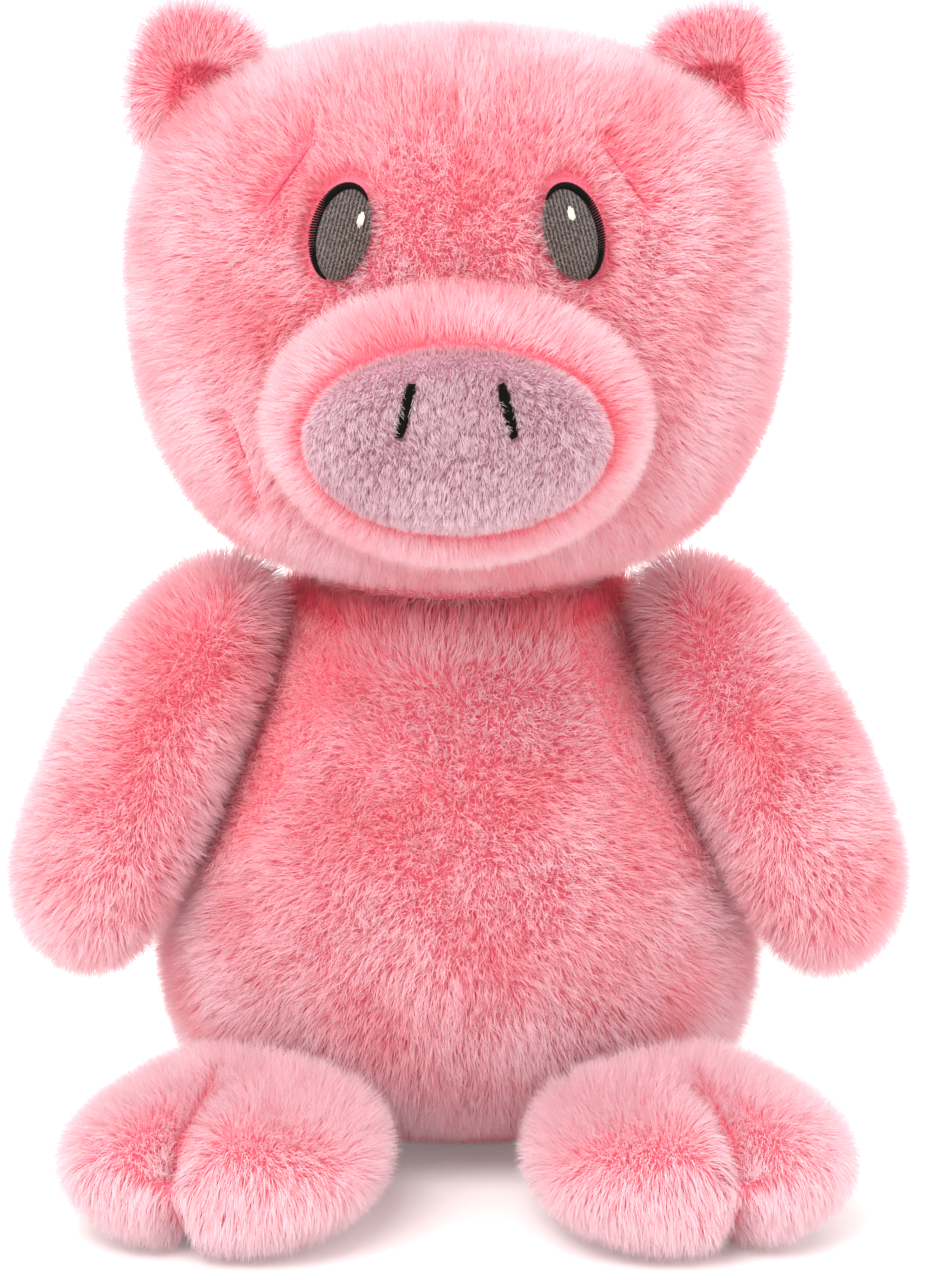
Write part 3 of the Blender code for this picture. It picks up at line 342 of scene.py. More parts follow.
def cleft_share(place):
    return np.clip((place - FOOT_LENGTH * TOE_CLEFT_START) / (FOOT_LENGTH * (1 - TOE_CLEFT_START)), 0.0, 1.0)


def foot_form(hand, count=56):
    centre, ahead, outside = foot_place(hand)
    rows = []
    angles = circle(count)
    places = [(-FOOT_HEEL * math.cos(t), FOOT_HEEL * math.sin(t), FOOT_HEEL * math.sin(t))
              for t in heel_turns]
    places += [
        (along * FOOT_LENGTH, wide * FOOT_HALF_WIDTH, tall * FOOT_HALF_HEIGHT)
        for along, wide, tall in zip(foot_along, foot_wide, foot_tall)
    ]
    for place, wide, tall in places:
        u, v = wide * np.cos(angles), tall * np.sin(angles)
        drift = FOOT_HALF_WIDTH * TOE_CLEFT_DRIFT * cleft_share(place)
        dent = TOE_CLEFT * math.sqrt(cleft_share(place)) * np.exp(-((u - drift) / TOE_CLEFT_WIDTH) ** 2)
        back = dent * place / FOOT_LENGTH
        v = np.where(v > 0, v - np.minimum(dent, v) * (1 - place / FOOT_LENGTH / 2), v)
        rows.append(centre + np.outer(place - back, ahead) + np.outer(u, outside) + np.outer(v, UP))
    return np.array(rows)


# %% [markdown]
# A form becomes a closed skin of quads with a pole at each pointed end. The skin lies a little under the
# pile's mean surface, because the tufts add that much again. Subdivision rounds it.

# %% From sections to a skin
def normals_of(rows, axis):
    across = np.roll(rows, -1, axis=1) - np.roll(rows, 1, axis=1)
    found = np.cross(across, np.gradient(rows, axis=0))
    length = np.linalg.norm(found, axis=2, keepdims=True)
    found = found / np.maximum(length, 1e-12)
    found[0][length[0, :, 0] < 1e-9] = -axis
    found[-1][length[-1, :, 0] < 1e-9] = axis
    middle = rows.mean(axis=1, keepdims=True)
    return found * (1 if ((rows - middle) * found).sum() > 0 else -1)


def drawn_in(rows, axis, depth):
    """The form, made smaller along its normals."""
    found = normals_of(rows, axis)
    for end, way in ((0, -1), (-1, 1)):
        if np.abs(rows[end] - rows[end][0]).max() < 1e-7:
            found[end] = axis * way
    return rows - found * depth


def plain_mesh(name, points, faces):
    mesh = bpy.data.meshes.new(name)
    mesh.from_pydata([tuple(p) for p in points], [], faces)
    return mesh


def skin_mesh(name, rows):
    """Quads between the sections, with a pole or a cap at each end."""
    points, table, faces = [], [], []
    for row in rows:
        if np.abs(row - row[0]).max() < 1e-7:
            points.append(row[0])
            table.append([len(points) - 1] * len(row))
        else:
            table.append(list(range(len(points), len(points) + len(row))))
            points.extend(row)
    for low, high in zip(table[:-1], table[1:]):
        for j in range(len(low)):
            k = (j + 1) % len(low)
            corners = list(dict.fromkeys((low[j], low[k], high[k], high[j])))
            faces.append(corners)
    for end in (table[0], table[-1]):
        if len(set(end)) > 1:
            faces.append(list(end))
    return plain_mesh(name, points, faces)


def link(name, mesh, material, body):
    made = bpy.data.objects.new(name, mesh)
    mesh.materials.append(material)
    SCENE.collection.objects.link(made)
    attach(made, body)
    return made


def apply_modifiers(piece):
    graph = bpy.context.evaluated_depsgraph_get()
    graph.update()
    mesh = bpy.data.meshes.new_from_object(piece.evaluated_get(graph))
    piece.modifiers.clear()
    piece.data = mesh
    return piece


def face_out(mesh):
    bm = bmesh.new()
    bm.from_mesh(mesh)
    bmesh.ops.recalc_face_normals(bm, faces=bm.faces)
    bm.to_mesh(mesh)
    bm.free()


def make_skin(name, rows, body, material, levels=2):
    mesh = skin_mesh(name, rows)
    face_out(mesh)
    piece = link(name, mesh, material, body)
    rounding = piece.modifiers.new("rounding", "SUBSURF")
    rounding.levels = rounding.render_levels = levels
    apply_modifiers(piece)
    piece.data.shade_smooth()
    return piece


def points_of(piece):
    found = np.empty(len(piece.data.vertices) * 3)
    piece.data.vertices.foreach_get("co", found)
    return found.reshape(-1, 3)


def set_points(piece, points):
    piece.data.vertices.foreach_set("co", points.ravel())
    piece.data.update()


def vertex_normals(piece):
    found = np.empty(len(piece.data.vertices) * 3, np.float32)
    piece.data.vertex_normals.foreach_get("vector", found)
    return found.reshape(-1, 3).astype(float)


def shape_tree(piece):
    """The piece's shape as a tree that finds its nearest point."""
    return BVHTree.FromPolygons([tuple(p) for p in points_of(piece)],
                                [tuple(f.vertices) for f in piece.data.polygons])


# %% [markdown]
# Where two stuffed bags press on each other, each one gives way: the body is pressed flat where the arm lies,
# and has a hollow for the heel and the tail; the head has a hollow for the neck.

# %% Pressing skins against their neighbours
def press_to_plane(points, normal, limit):
    """Points beyond a plane are moved back on it."""
    over = np.maximum(points @ normal - limit, 0.0)
    return points - np.outer(over, normal)


def press_by_ball(points, normals, centre, radius):
    """Points inside a ball are moved inward, along their normals, to its far side."""
    away_from = points - centre
    along = (away_from * normals).sum(axis=1)
    inside = (away_from ** 2).sum(axis=1) < radius ** 2
    depth = along + np.sqrt(np.maximum(along ** 2 + radius ** 2 - (away_from ** 2).sum(axis=1), 0.0))
    return points - normals * np.where(inside, depth, 0.0)[:, None]


def turned(points, centre, axis, angle):
    """Points turned about an axis."""
    axis = unit_of(np.array(axis))
    arms = points - centre
    c, s = math.cos(angle), math.sin(angle)
    return centre + arms * c + np.cross(axis, arms) * s + np.outer(arms @ axis, axis) * (1 - c)


def softened(points, piece, chosen, rounds):
    """Chosen points are drawn toward the mean of their neighbours, round after round."""
    ends = np.array([tuple(e.vertices) for e in piece.data.edges])
    count = np.bincount(ends.ravel(), minlength=len(points))[:, None]
    for _ in range(rounds):
        total = np.zeros_like(points)
        np.add.at(total, ends[:, 0], points[ends[:, 1]])
        np.add.at(total, ends[:, 1], points[ends[:, 0]])
        points = np.where(chosen[:, None], 0.5 * points + 0.5 * total / count, points)
    return points


def lifted_off(points, tree, clearance, rounds=2):
    """Points inside or close to a closed surface are moved out to this clearance."""
    points = points.copy()
    for _ in range(rounds):
        for i, point in enumerate(points):
            near, normal, _, distance = tree.find_nearest(Vector(point), 0.05)
            if near is not None:
                height = (Vector(point) - near).dot(normal)
                if height < clearance:
                    points[i] = near + normal * clearance
    return points


# %% [markdown]
# The skins lie `SINK` under the pile's mean surface. The body and the head come first, because the limbs are
# fitted to them.

# %% Body, neck and head skins
SINK = 4.0 * MM
LIMB_SINK = SINK * 0.9
NECK_PIVOT, NECK_BALL = np.array((0.0, 0.0, 125.0 * MM)), 48.0 * MM
TAIL_BALL, TAIL_SINK, TAIL_RISE = 8.5 * MM, 0.3, 50 * MM
SIDES = (("left", -1), ("right", 1))

body_rows = body_form()
tail_y = np.interp(TAIL_RISE, body_rows[:, 0, 2], body_rows[:, 8, 1]) + TAIL_BALL * TAIL_SINK
tail_root = np.array((0.0, tail_y, TAIL_RISE))
body_skin = make_skin("body_skin", drawn_in(body_rows, UP, SINK), "torso", BACKING)
points, normals = points_of(body_skin), vertex_normals(body_skin)
points[:, 2] = np.maximum(points[:, 2], 0.6 * MM)
for side, hand in SIDES:
    points = press_to_plane(points, shoulder_normal(hand), ARM_PLANE - 1.5 * MM)
    points = press_by_ball(points, normals, foot_place(hand)[0], FOOT_HEEL + SEAM_GAP)
points = press_by_ball(points, normals, tail_root, TAIL_BALL)
set_points(body_skin, points)
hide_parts("body_front_panel", "body_back_panel", "body_base_panel", "body_stuffing")

head_rows = head_form()
head_skin = make_skin("head_skin", drawn_in(head_rows, UP, SINK), "head", BACKING)
points, normals = points_of(head_skin), vertex_normals(head_skin)
set_points(head_skin, press_by_ball(points, normals, NECK_PIVOT, NECK_BALL + SEAM_GAP))
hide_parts("head_face_panel", "head_back_panel", "head_stuffing")

neck_rows = []
neck_low = math.acos((150.3 * MM - NECK_PIVOT[2]) / NECK_BALL)
for share in np.linspace(1.0, 0.0, 9):
    polar = neck_low * share
    radius = min((NECK_BALL - 0.5 * MM) * math.sin(polar), 36.0 * MM)
    neck_rows.append(section(NECK_PIVOT + UP * NECK_BALL * math.cos(polar), RIGHT, BACK, radius, radius,
                             radius))
neck_skin = make_skin("neck_wad_cover", np.array(neck_rows), "neck", BACKING, 1)
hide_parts("neck_wad")

# %% Arm and foot skins
FOOT_SWINGS = (0.0, -25.0, 10.0)
arm_skins, foot_skins = {}, {}
belly_gauge = make_skin("belly_gauge", body_rows, "torso", BACKING, 1)
belly = shape_tree(belly_gauge)
bpy.data.objects.remove(belly_gauge)
for side, hand in SIDES:
    normal = shoulder_normal(hand)
    rows = drawn_in(arm_form(hand), arm_down(hand), LIMB_SINK)
    arm = make_skin("arm_skin_" + side, rows, "arm_" + side, BACKING)
    set_points(arm, -press_to_plane(-points_of(arm), normal, -(ARM_PLANE + 1.5 * MM)))
    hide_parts("arm_outer_" + side, "arm_inner_" + side, "arm_stuffing_" + side)
    arm_skins[side] = arm

    centre, ahead, outside = foot_place(hand)
    foot = make_skin("foot_skin_" + side, drawn_in(foot_form(hand), ahead, LIMB_SINK), "foot_" + side,
                     BACKING, 1)
    points = softened(points_of(foot), foot, (points_of(foot) - centre) @ ahead > FOOT_LENGTH * 0.72, 6)
    hinge = np.cross(ahead, UP)
    for angle in FOOT_SWINGS:
        swung = turned(points, centre, hinge, -math.radians(angle))
        free = lifted_off(swung, belly, 0.5 * MM)
        in_heel = ((points - centre) ** 2).sum(axis=1) < (FOOT_HEEL - 1.0 * MM) ** 2
        points = np.where(in_heel[:, None], points, turned(free, centre, hinge, math.radians(angle)))
    points[:, 2] = np.maximum(points[:, 2], 0.6 * MM)
    set_points(foot, points)
    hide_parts("foot_upper_" + side, "foot_sole_" + side, "foot_stuffing_" + side)
    foot_skins[side] = foot
print("skins:", [(o.name, len(o.data.polygons)) for o in (body_skin, head_skin, *arm_skins.values(),
                                                          *foot_skins.values())])

# %% [markdown]
# ## Muzzle and nose
# The muzzle is a separate stuffed ring on the face. Its front is closed by an oval of short mauve pile,
# which is crowned a little and sewn in along a sunk seam.

# %% Muzzle and nose skins
MUZZLE_Z, MUZZLE_ROOT_Y, MUZZLE_TIP_Y = 205.0 * MM, -52.0 * MM, -96.0 * MM
MUZZLE_HALF_WIDTH, MUZZLE_HALF_HEIGHT = 45.5 * MM, 33.5 * MM
NOSE_Z, NOSE_HALF_WIDTH, NOSE_HALF_HEIGHT, NOSE_CROWN = 204.0 * MM, 36.2 * MM, 21.5 * MM, 5.0 * MM
muzzle_along = (0.0, 0.30, 0.55, 0.75, 0.89, 0.97, 1.0, 1.0)
muzzle_size = (1.05, 1.04, 1.01, 0.95, 0.87, 0.79, 0.70, 0.0)
nose_reach = (0.0, 0.40, 0.72, 0.93, 1.0)
nose_rise = (1.0, 0.96, 0.80, 0.45, 0.0)
MUZZLE_SINK, MUZZLE_FRONT = 3.0 * MM, -80 * MM


def face_depth(x, z):
    """How far forward the head's front lies at a place on the face."""
    share = np.clip((z - HEAD_BOTTOM) / HEAD_HEIGHT, 0.0, 1.0)
    wide = np.interp(share, head_rise, head_wide) * HEAD_HALF_WIDTH
    deep = np.interp(share, head_rise, head_front) * HEAD_HALF_DEPTH
    return -HEAD_FORWARD - deep * np.sqrt(np.maximum(1 - (x / np.maximum(wide, MM)) ** 2, 0.0))


def nose_depth(x, z):
    reach = np.hypot(x / NOSE_HALF_WIDTH, (z - NOSE_Z) / NOSE_HALF_HEIGHT)
    return MUZZLE_TIP_Y - np.interp(reach, nose_reach, nose_rise) * NOSE_CROWN


def on_face(place, lift, depth_at=face_depth):
    """A place moved along the view to the face, and this far behind it."""
    return np.array((place[0], depth_at(place[0], place[2]) + lift, place[2]))


def upright_ovals(table, sink):
    """Ovals that face forward: depth, middle height, half width and half height."""
    return np.array([
        section(np.array((0.0, y, z)), RIGHT, UP, max(wide - sink, 0.0), max(tall - sink, 0.0),
                max(tall - sink, 0.0), 48)
        for y, z, wide, tall in table
    ])


muzzle_table = [
    (MUZZLE_ROOT_Y + along * (MUZZLE_TIP_Y + MUZZLE_SINK - MUZZLE_ROOT_Y), MUZZLE_Z,
     size * MUZZLE_HALF_WIDTH, size * MUZZLE_HALF_HEIGHT)
    for along, size in zip(muzzle_along, muzzle_size)
]
muzzle_skin = make_skin("muzzle_skin", upright_ovals(muzzle_table, MUZZLE_SINK), "head", BACKING, 1)
head_shape = shape_tree(head_skin)
set_points(muzzle_skin, lifted_off(points_of(muzzle_skin), head_shape, 0.3 * MM, 1))
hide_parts("muzzle_panel", "muzzle_stuffing")

nose_table = [
    (MUZZLE_TIP_Y + 10.0 * MM, NOSE_Z, NOSE_HALF_WIDTH * 0.92, NOSE_HALF_HEIGHT * 0.90),
    (MUZZLE_TIP_Y + 4.0 * MM, NOSE_Z, NOSE_HALF_WIDTH, NOSE_HALF_HEIGHT),
]
nose_table += [
    (MUZZLE_TIP_Y + 1.5 * MM - rise * NOSE_CROWN, NOSE_Z, reach * NOSE_HALF_WIDTH, reach * NOSE_HALF_HEIGHT)
    for reach, rise in zip(nose_reach[::-1], nose_rise[::-1])
]
nose_skin = make_skin("nose_patch_skin", upright_ovals(nose_table, 0.0), "head", NOSE_BACKING, 1)
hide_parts("nose_patch")

# %% [markdown]
# ## Ears
# Each ear is one stuffed, cupped flap. Long pink pile covers its back and folds over its rim; only a small
# three-cornered recess at the root shows the deep red lining.

# %% Ear skins
EAR_X, EAR_Z, EAR_SLOPE = 62.2 * MM, 279.4 * MM, math.radians(36.0)
EAR_BASE_HALF, EAR_HEIGHT, EAR_ROOT, EAR_CUP, EAR_LEAN = 19.5 * MM, 23.5 * MM, 5.5 * MM, 3.0 * MM, 1.0 * MM
ear_rise = (0.0, 0.16, 0.36, 0.56, 0.74, 0.88, 0.97, 1.0)
ear_wide = (1.0, 1.0, 0.94, 0.81, 0.61, 0.40, 0.22, 0.0)
ear_thick = (0.97, 0.98, 0.95, 0.90, 0.82, 0.70, 0.50, 0.0)
EAR_SINK, EAR_SPREAD = 2.4 * MM, 3.0 * MM


def ear_place(hand):
    middle = np.array((EAR_X * hand, -HEAD_FORWARD, EAR_Z))
    along = np.array((math.cos(EAR_SLOPE) * hand, 0.0, -math.sin(EAR_SLOPE)))
    out = np.array((-along[2] * hand, 0.0, along[0] * hand))
    return middle, along, out


def ear_form(hand, front_share, back_share, rim):
    """The ear's sections, with the share of its thickness to the front and to the back."""
    middle, along, out = ear_place(hand)
    middle = middle + along * EAR_SPREAD
    rows = []
    for share, wide, thick in zip(ear_rise, ear_wide, ear_thick):
        rise, drop = share * (EAR_HEIGHT + EAR_SPREAD - rim), share * (EAR_LEAN + EAR_SPREAD)
        centre = middle + out * rise - along * drop
        angles = circle(32)
        c, s = np.cos(angles), np.sin(angles)
        cup = -EAR_CUP * c * c * math.sin(math.pi * share)
        dent = 0.75 * s * s * math.sin(math.pi * min(share * 1.1, 1.0))
        hollow = np.where(s < 0, front_share * (1 - dent), back_share)
        reach = np.maximum(wide * (EAR_BASE_HALF + EAR_SPREAD) - rim, 0.0) if wide else 0.0
        depth = hollow * thick * EAR_ROOT * s + cup
        rows.append(centre + np.outer(reach * c, along) + np.outer(depth if wide else cup * 0, BACK))
    return np.array(rows)


ear_skins = {}
for side, hand in SIDES:
    ear = make_skin("ear_skin_" + side, ear_form(hand, 0.55, 0.55, EAR_SINK), "ear_" + side, BACKING, 1)
    set_points(ear, lifted_off(points_of(ear), head_shape, 0.4 * MM, 1))
    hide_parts("ear_back_" + side, "ear_lining_" + side)
    ear_skins[side] = ear

# %% [markdown]
# ## Tail
# A short curl, stuffed thinly, on a round root that sits in a hollow of the back.

# %% Tail skin
TAIL_RADIUS, TAIL_CURL, TAIL_PITCH, TAIL_TURN = 4.8 * MM, 7.2 * MM, 14.0 * MM, math.radians(235.0)
tail_line, tail_size = [], []
for polar in np.linspace(math.pi, 0.30 * math.pi, 9):
    tail_line.append(tail_root + BACK * TAIL_BALL * math.cos(polar))
    tail_size.append((TAIL_BALL - 1.5 * MM) * math.sin(polar))
for t in np.linspace(0.04, 1.0, 23):
    angle = TAIL_TURN * t
    curl = RIGHT * math.sin(angle) + UP * (1 - math.cos(angle))
    tail_line.append(tail_root + BACK * (0.65 * TAIL_BALL + TAIL_PITCH * t) + curl * TAIL_CURL)
    tip = math.sqrt(max(1 - (max(t - 0.9, 0.0) / 0.1) ** 2, 0.0))
    tail_size.append((TAIL_RADIUS - 1.2 * MM) * (1 - 0.45 * t) * tip)
tail_rows, sideways = [], RIGHT
for i, (place, radius) in enumerate(zip(tail_line, tail_size)):
    ahead = tail_line[min(i + 1, len(tail_line) - 1)] - tail_line[max(i - 1, 0)]
    ahead = unit_of(ahead)
    sideways = unit_of(sideways - ahead * (sideways @ ahead))
    tail_rows.append(section(place, sideways, np.cross(ahead, sideways), radius, radius, radius, 16))
tail_skin = make_skin("tail_skin", np.array(tail_rows), "tail", BACKING, 1)
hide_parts("tail")

# %% [markdown]
# ## Eyes, nostrils and tucks
# The eyes are ovals of grey rib knit with a little crown, sewn down with a black satin-stitched rim on the
# outer and upper side only. Satin stitch is a row of threads laid side by side across the line, so it is
# made that way: one small arched tube for each throw of the thread. The tucks over the eyes, beside the
# muzzle and between the toes are pulled in with a few running stitches that lie deep in the pile.

# %% Satin stitch
def thread_mesh(name, centres, across, half_lengths, upward, radius, arch):
    """Threads laid side by side: each is a short tube that arches from one edge of the line to the other."""
    steps, sides = np.linspace(-1.0, 1.0, 7), 6
    points, faces = [], []
    for centre, way, half_length, up in zip(centres, across, half_lengths, upward):
        other = np.cross(way, up)
        first = len(points)
        for t in steps:
            middle = centre + way * (half_length * t) + up * (arch * (1 - t * t))
            thin = radius * (1 - 0.5 * t ** 6)
            points += [middle + other * (thin * math.cos(a)) + up * (thin * math.sin(a))
                       for a in circle(sides)]
        for row in range(len(steps) - 1):
            here, there = first + row * sides, first + (row + 1) * sides
            faces += [(here + k, here + (k + 1) % sides, there + (k + 1) % sides, there + k)
                      for k in range(sides)]
        last = first + (len(steps) - 1) * sides
        faces += [tuple(range(first + sides - 1, first - 1, -1)), tuple(range(last, last + sides))]
    mesh = plain_mesh(name, points, faces)
    mesh.shade_smooth()
    face_out(mesh)
    return mesh


def add_piece(mesh, material, body, node):
    """Adds a mesh to its body, in the place of one solid."""
    piece = link(mesh.name, mesh, material, body)
    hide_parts(node)


def face_frame(lean):
    """Directions across and up a line that leans this far on the face."""
    return RIGHT * math.cos(lean) + UP * math.sin(lean), -RIGHT * math.sin(lean) + UP * math.cos(lean)


def stitched(name, node, middle, lean, length, half_width, depth_at, sink, pitch, material, slant=0.25):
    """A straight satin-stitched line on the face, a little wider in the middle."""
    sideways, along = face_frame(lean)
    count = int(length / pitch)
    shares = np.linspace(-0.5, 0.5, count)
    flat = [RIGHT * middle[0] + UP * middle[1] + along * (share * length) for share in shares]
    centres = [on_face(place, sink, depth_at) for place in flat]
    way = unit_of(sideways + along * slant)
    widths = [half_width * (1 - 0.35 * (2 * share) ** 4) for share in shares]
    mesh = thread_mesh(name, centres, [way] * count, widths, [-BACK] * count, pitch * 0.56, half_width * 0.35)
    add_piece(mesh, material, "head", node)


# %% Eyes
EYE_X, EYE_Z, EYE_LEAN = 28.0 * MM, 250.5 * MM, math.radians(15.0)
EYE_HALF_WIDTH, EYE_HALF_HEIGHT = 6.6 * MM, 11.5 * MM


def eye_middle(hand):
    return RIGHT * EYE_X * hand + UP * EYE_Z


def rib_knit(name):
    """Grey rib knit: ribs 0.8 mm apart along the eye, with the speckle of single stitches."""
    made, tree, shader = new_material(name, 0.75, Sheen_Weight=0.35, Specular_IOR_Level=0.3)
    place = add_node(tree, "UVMap", uv_map="OFBake")
    ribs = add_node(tree, "TexWave", [("Vector", place, "UV")], bands_direction="X", Scale=4.6,
                    Distortion=5.0, Detail=2.0, Detail_Scale=9.0)
    speckle = add_node(tree, "TexNoise", [("Vector", place, "UV")], Scale=62.0, Detail=1.0)
    sum_up = add_node(tree, "Mix", [("A", ribs, "Fac"), ("B", speckle, "Fac")], data_type="FLOAT",
                      Factor=0.62)
    tones = ramp(tree, sum_up, "Result", ((0.34, "#171211"), (0.52, "#3C312D"), (0.70, "#7E6D67")))
    tree.links.new(tones.outputs["Color"], shader.inputs["Base Color"])
    bump = add_node(tree, "Bump", [("Height", sum_up, "Result")], Strength=0.9, Distance=0.35 * MM)
    tree.links.new(bump.outputs["Normal"], shader.inputs["Normal"])
    made.diffuse_color = linear("#6A5F60")
    return made


EYE_RIBS = rib_knit("rib_knit_dark_grey")


def eye_mesh(name, hand):
    """An oval with a low crown and a skirt down to the backing, with a flat map for the ribs."""
    sideways, along = face_frame(EYE_LEAN * hand)
    reaches = (0.02, 0.2, 0.4, 0.6, 0.78, 0.92, 1.0, 1.02)
    crowns = (1.0, 0.97, 0.90, 0.74, 0.50, 0.18, -0.35, -1.6)
    angles = circle(48)
    points, flat = [], []
    for reach, crown in zip(reaches, crowns):
        for a in angles:
            u, v = reach * math.cos(a), reach * math.sin(a)
            place = eye_middle(hand) + sideways * (u * EYE_HALF_WIDTH) + along * (v * EYE_HALF_HEIGHT)
            points.append((place[0], face_depth(place[0], place[2]) + 0.2 * MM - crown * 1.6 * MM, place[2]))
            flat.append((0.5 + 0.47 * u, 0.5 + 0.47 * v * EYE_HALF_HEIGHT / EYE_HALF_WIDTH * 0.55))
    faces = [tuple(range(48))]
    for row in range(len(reaches) - 1):
        faces += [(row * 48 + k, (row + 1) * 48 + k, (row + 1) * 48 + (k + 1) % 48, row * 48 + (k + 1) % 48)
                  for k in range(48)]
    mesh = plain_mesh(name, points, faces)
    face_out(mesh)
    layer = mesh.uv_layers.new(name="OFBake")
    for loop in mesh.loops:
        layer.data[loop.index].uv = flat[loop.vertex_index]
    mesh.shade_smooth()
    return mesh


def rim_mesh(name, hand):
    """Satin stitch round the outer and upper side, widest there and thin at both ends."""
    sideways, along = face_frame(EYE_LEAN * hand)
    turns = np.radians(np.linspace(-78.0, 122.0, 64))
    centres, ways, widths = [], [], []
    for t in turns:
        share = (math.degrees(t) + 78.0) / 200.0
        half_width = (0.25 + 0.75 * math.sin(math.pi * share) ** 0.8) * 1.15 * MM
        ray = sideways * (math.cos(t) * hand * EYE_HALF_HEIGHT) + along * (math.sin(t) * EYE_HALF_WIDTH)
        ray /= np.linalg.norm(ray)
        edge = sideways * (math.cos(t) * hand * EYE_HALF_WIDTH) + along * (math.sin(t) * EYE_HALF_HEIGHT)
        place = eye_middle(hand) + edge + ray * (half_width * 0.55)
        centres.append(on_face(place, -0.2 * MM))
        slanted = ray + np.cross(ray, BACK) * 0.2
        ways.append(unit_of(slanted))
        widths.append(half_width)
    return thread_mesh(name, centres, ways, widths, [-BACK] * len(turns), 0.30 * MM, 0.5 * MM)


def glint_mesh(name, hand, across):
    """Four long cream throws beside each other."""
    sideways, along = face_frame(EYE_LEAN * hand)
    middle = eye_middle(hand) + along * (0.42 * EYE_HALF_HEIGHT) + sideways * (across * EYE_HALF_WIDTH)
    centres, lengths = [], []
    for step, length in ((-0.60, 1.3), (-0.20, 2.0), (0.20, 2.1), (0.60, 1.4)):
        place = middle + sideways * (step * MM)
        centres.append(on_face(place, -1.35 * MM))
        lengths.append(length * MM)
    return thread_mesh(name, centres, [along] * 4, lengths, [-BACK] * 4, 0.24 * MM, 0.25 * MM)


for (side, hand), across in zip(SIDES, (0.50, 0.20)):
    add_piece(eye_mesh("eye_knit_" + side, hand), EYE_RIBS, "head", "eye_patch_" + side)
    add_piece(rim_mesh("eye_satin_rim_" + side, hand), BLACK_THREAD, "head", "eye_rim_" + side)
    glint = glint_mesh("eye_glint_threads_" + side, hand, across)
    add_piece(glint, CREAM_THREAD, "head", "eye_glint_" + side)

# %% Nostrils and tucks
TUCK_HALF_WIDTH, TUCK_SINK, TUCK_PITCH = 0.35 * MM, 3.3 * MM, 0.6 * MM


def tuck(name, node, middle, lean, length):
    """Pink running stitches, drawn deep into the face."""
    stitched(name, node, middle, lean, length, TUCK_HALF_WIDTH, face_depth, TUCK_SINK, TUCK_PITCH,
             PINK_THREAD)


NOSTRIL_X, NOSTRIL_Z, NOSTRIL_LENGTH, NOSTRIL_LEAN = 12.3 * MM, 212.5 * MM, 13.0 * MM, math.radians(14.0)
nostrils = [(NOSTRIL_X * hand, NOSTRIL_Z, NOSTRIL_LENGTH, NOSTRIL_LEAN * hand) for _, hand in SIDES]
for (side, hand), (x, z, length, lean) in zip(SIDES, nostrils):
    stitched("nostril_stitch_" + side, "nostril_" + side, (x, z), lean, length, 1.55 * MM, nose_depth,
             0.1 * MM, 0.42 * MM, BLACK_THREAD)
BROWS = {side: (41.5 * MM * hand, 263.5 * MM, 17.0 * MM, math.radians(36.0) * hand) for side, hand in SIDES}
SMILE = (-53.0 * MM, 192.0 * MM, 24.0 * MM, math.radians(18.0))
creases = (*BROWS.values(), SMILE)
for side, (x, z, length, lean) in BROWS.items():
    tuck("brow_stitch_" + side, "brow_tuck_" + side, (x, z), lean, length)
for side, hand in SIDES:
    centre, ahead, outside = foot_place(hand)
    top = shape_tree(foot_skins[side])
    knots = []
    for share in np.arange(0.50, 0.90, 0.055):
        place = share * FOOT_LENGTH
        flat = centre + ahead * place + outside * (FOOT_HALF_WIDTH * TOE_CLEFT_DRIFT * cleft_share(place))
        hit = top.ray_cast(Vector(flat + UP * 0.1), Vector(-UP))[0]
        knots.append(np.array(hit) + UP * 0.7 * MM)
    slopes = [unit_of(b - a) for a, b in zip(knots, knots[1:])]
    middles = [(a + b) / 2 for a, b in zip(knots, knots[1:])]
    ups = [unit_of(np.cross(slope, np.cross(UP, slope))) for slope in slopes]
    mesh = thread_mesh("toe_stitches_" + side, middles, slopes, [1.5 * MM] * len(slopes), ups, 0.35 * MM,
                       0.5 * MM)
    add_piece(mesh, PINK_THREAD, "foot_" + side, "toe_stitch_" + side)
x, z, length, lean = SMILE
tuck("smile_stitch", "smile_tuck", (x, z), lean, length)

# %% [markdown]
# ## Pile
# Each blade of pile is a ribbon of one quad and one triangle that tapers to a point. Blades lean together in
# tufts of 1.6 mm, and the tufts lean together over 9 to 22 mm, because brushing and handling part the pile
# that way. Where tufts lean apart, the eye sees down to the roots. All of it is worked out with arrays, from
# seeded numbers, so each run gives the same fur.

# %% Soft noise and tufts
def drift(places, wavelength, seed):
    """Soft random vectors that change over about one wavelength."""
    numbers = np.random.default_rng(seed)
    total = np.zeros_like(places)
    for _ in range(7):
        wave = numbers.normal(size=3)
        wave *= 2 * math.pi / (np.linalg.norm(wave) * wavelength * numbers.uniform(0.7, 1.5))
        total += np.sin((places @ wave)[:, None] + numbers.uniform(0, 2 * math.pi, 3))
    return total / math.sqrt(3.5)


def scattered(keys, seed):
    """Three numbers from 0 to 1 for each whole-number place."""
    keys = keys.astype(np.int64)
    mixed = (keys[:, 0] * 73856093) ^ (keys[:, 1] * 19349663) ^ (keys[:, 2] * 83492791) ^ (seed * 2654435761)
    found = []
    for _ in range(3):
        mixed = (mixed * 6364136223846793005 + 1442695040888963407) & 0x7FFFFFFFFFFFFFFF
        found.append(((mixed >> 24) & 0xFFFFFF) / 0x1000000)
    return np.array(found).T


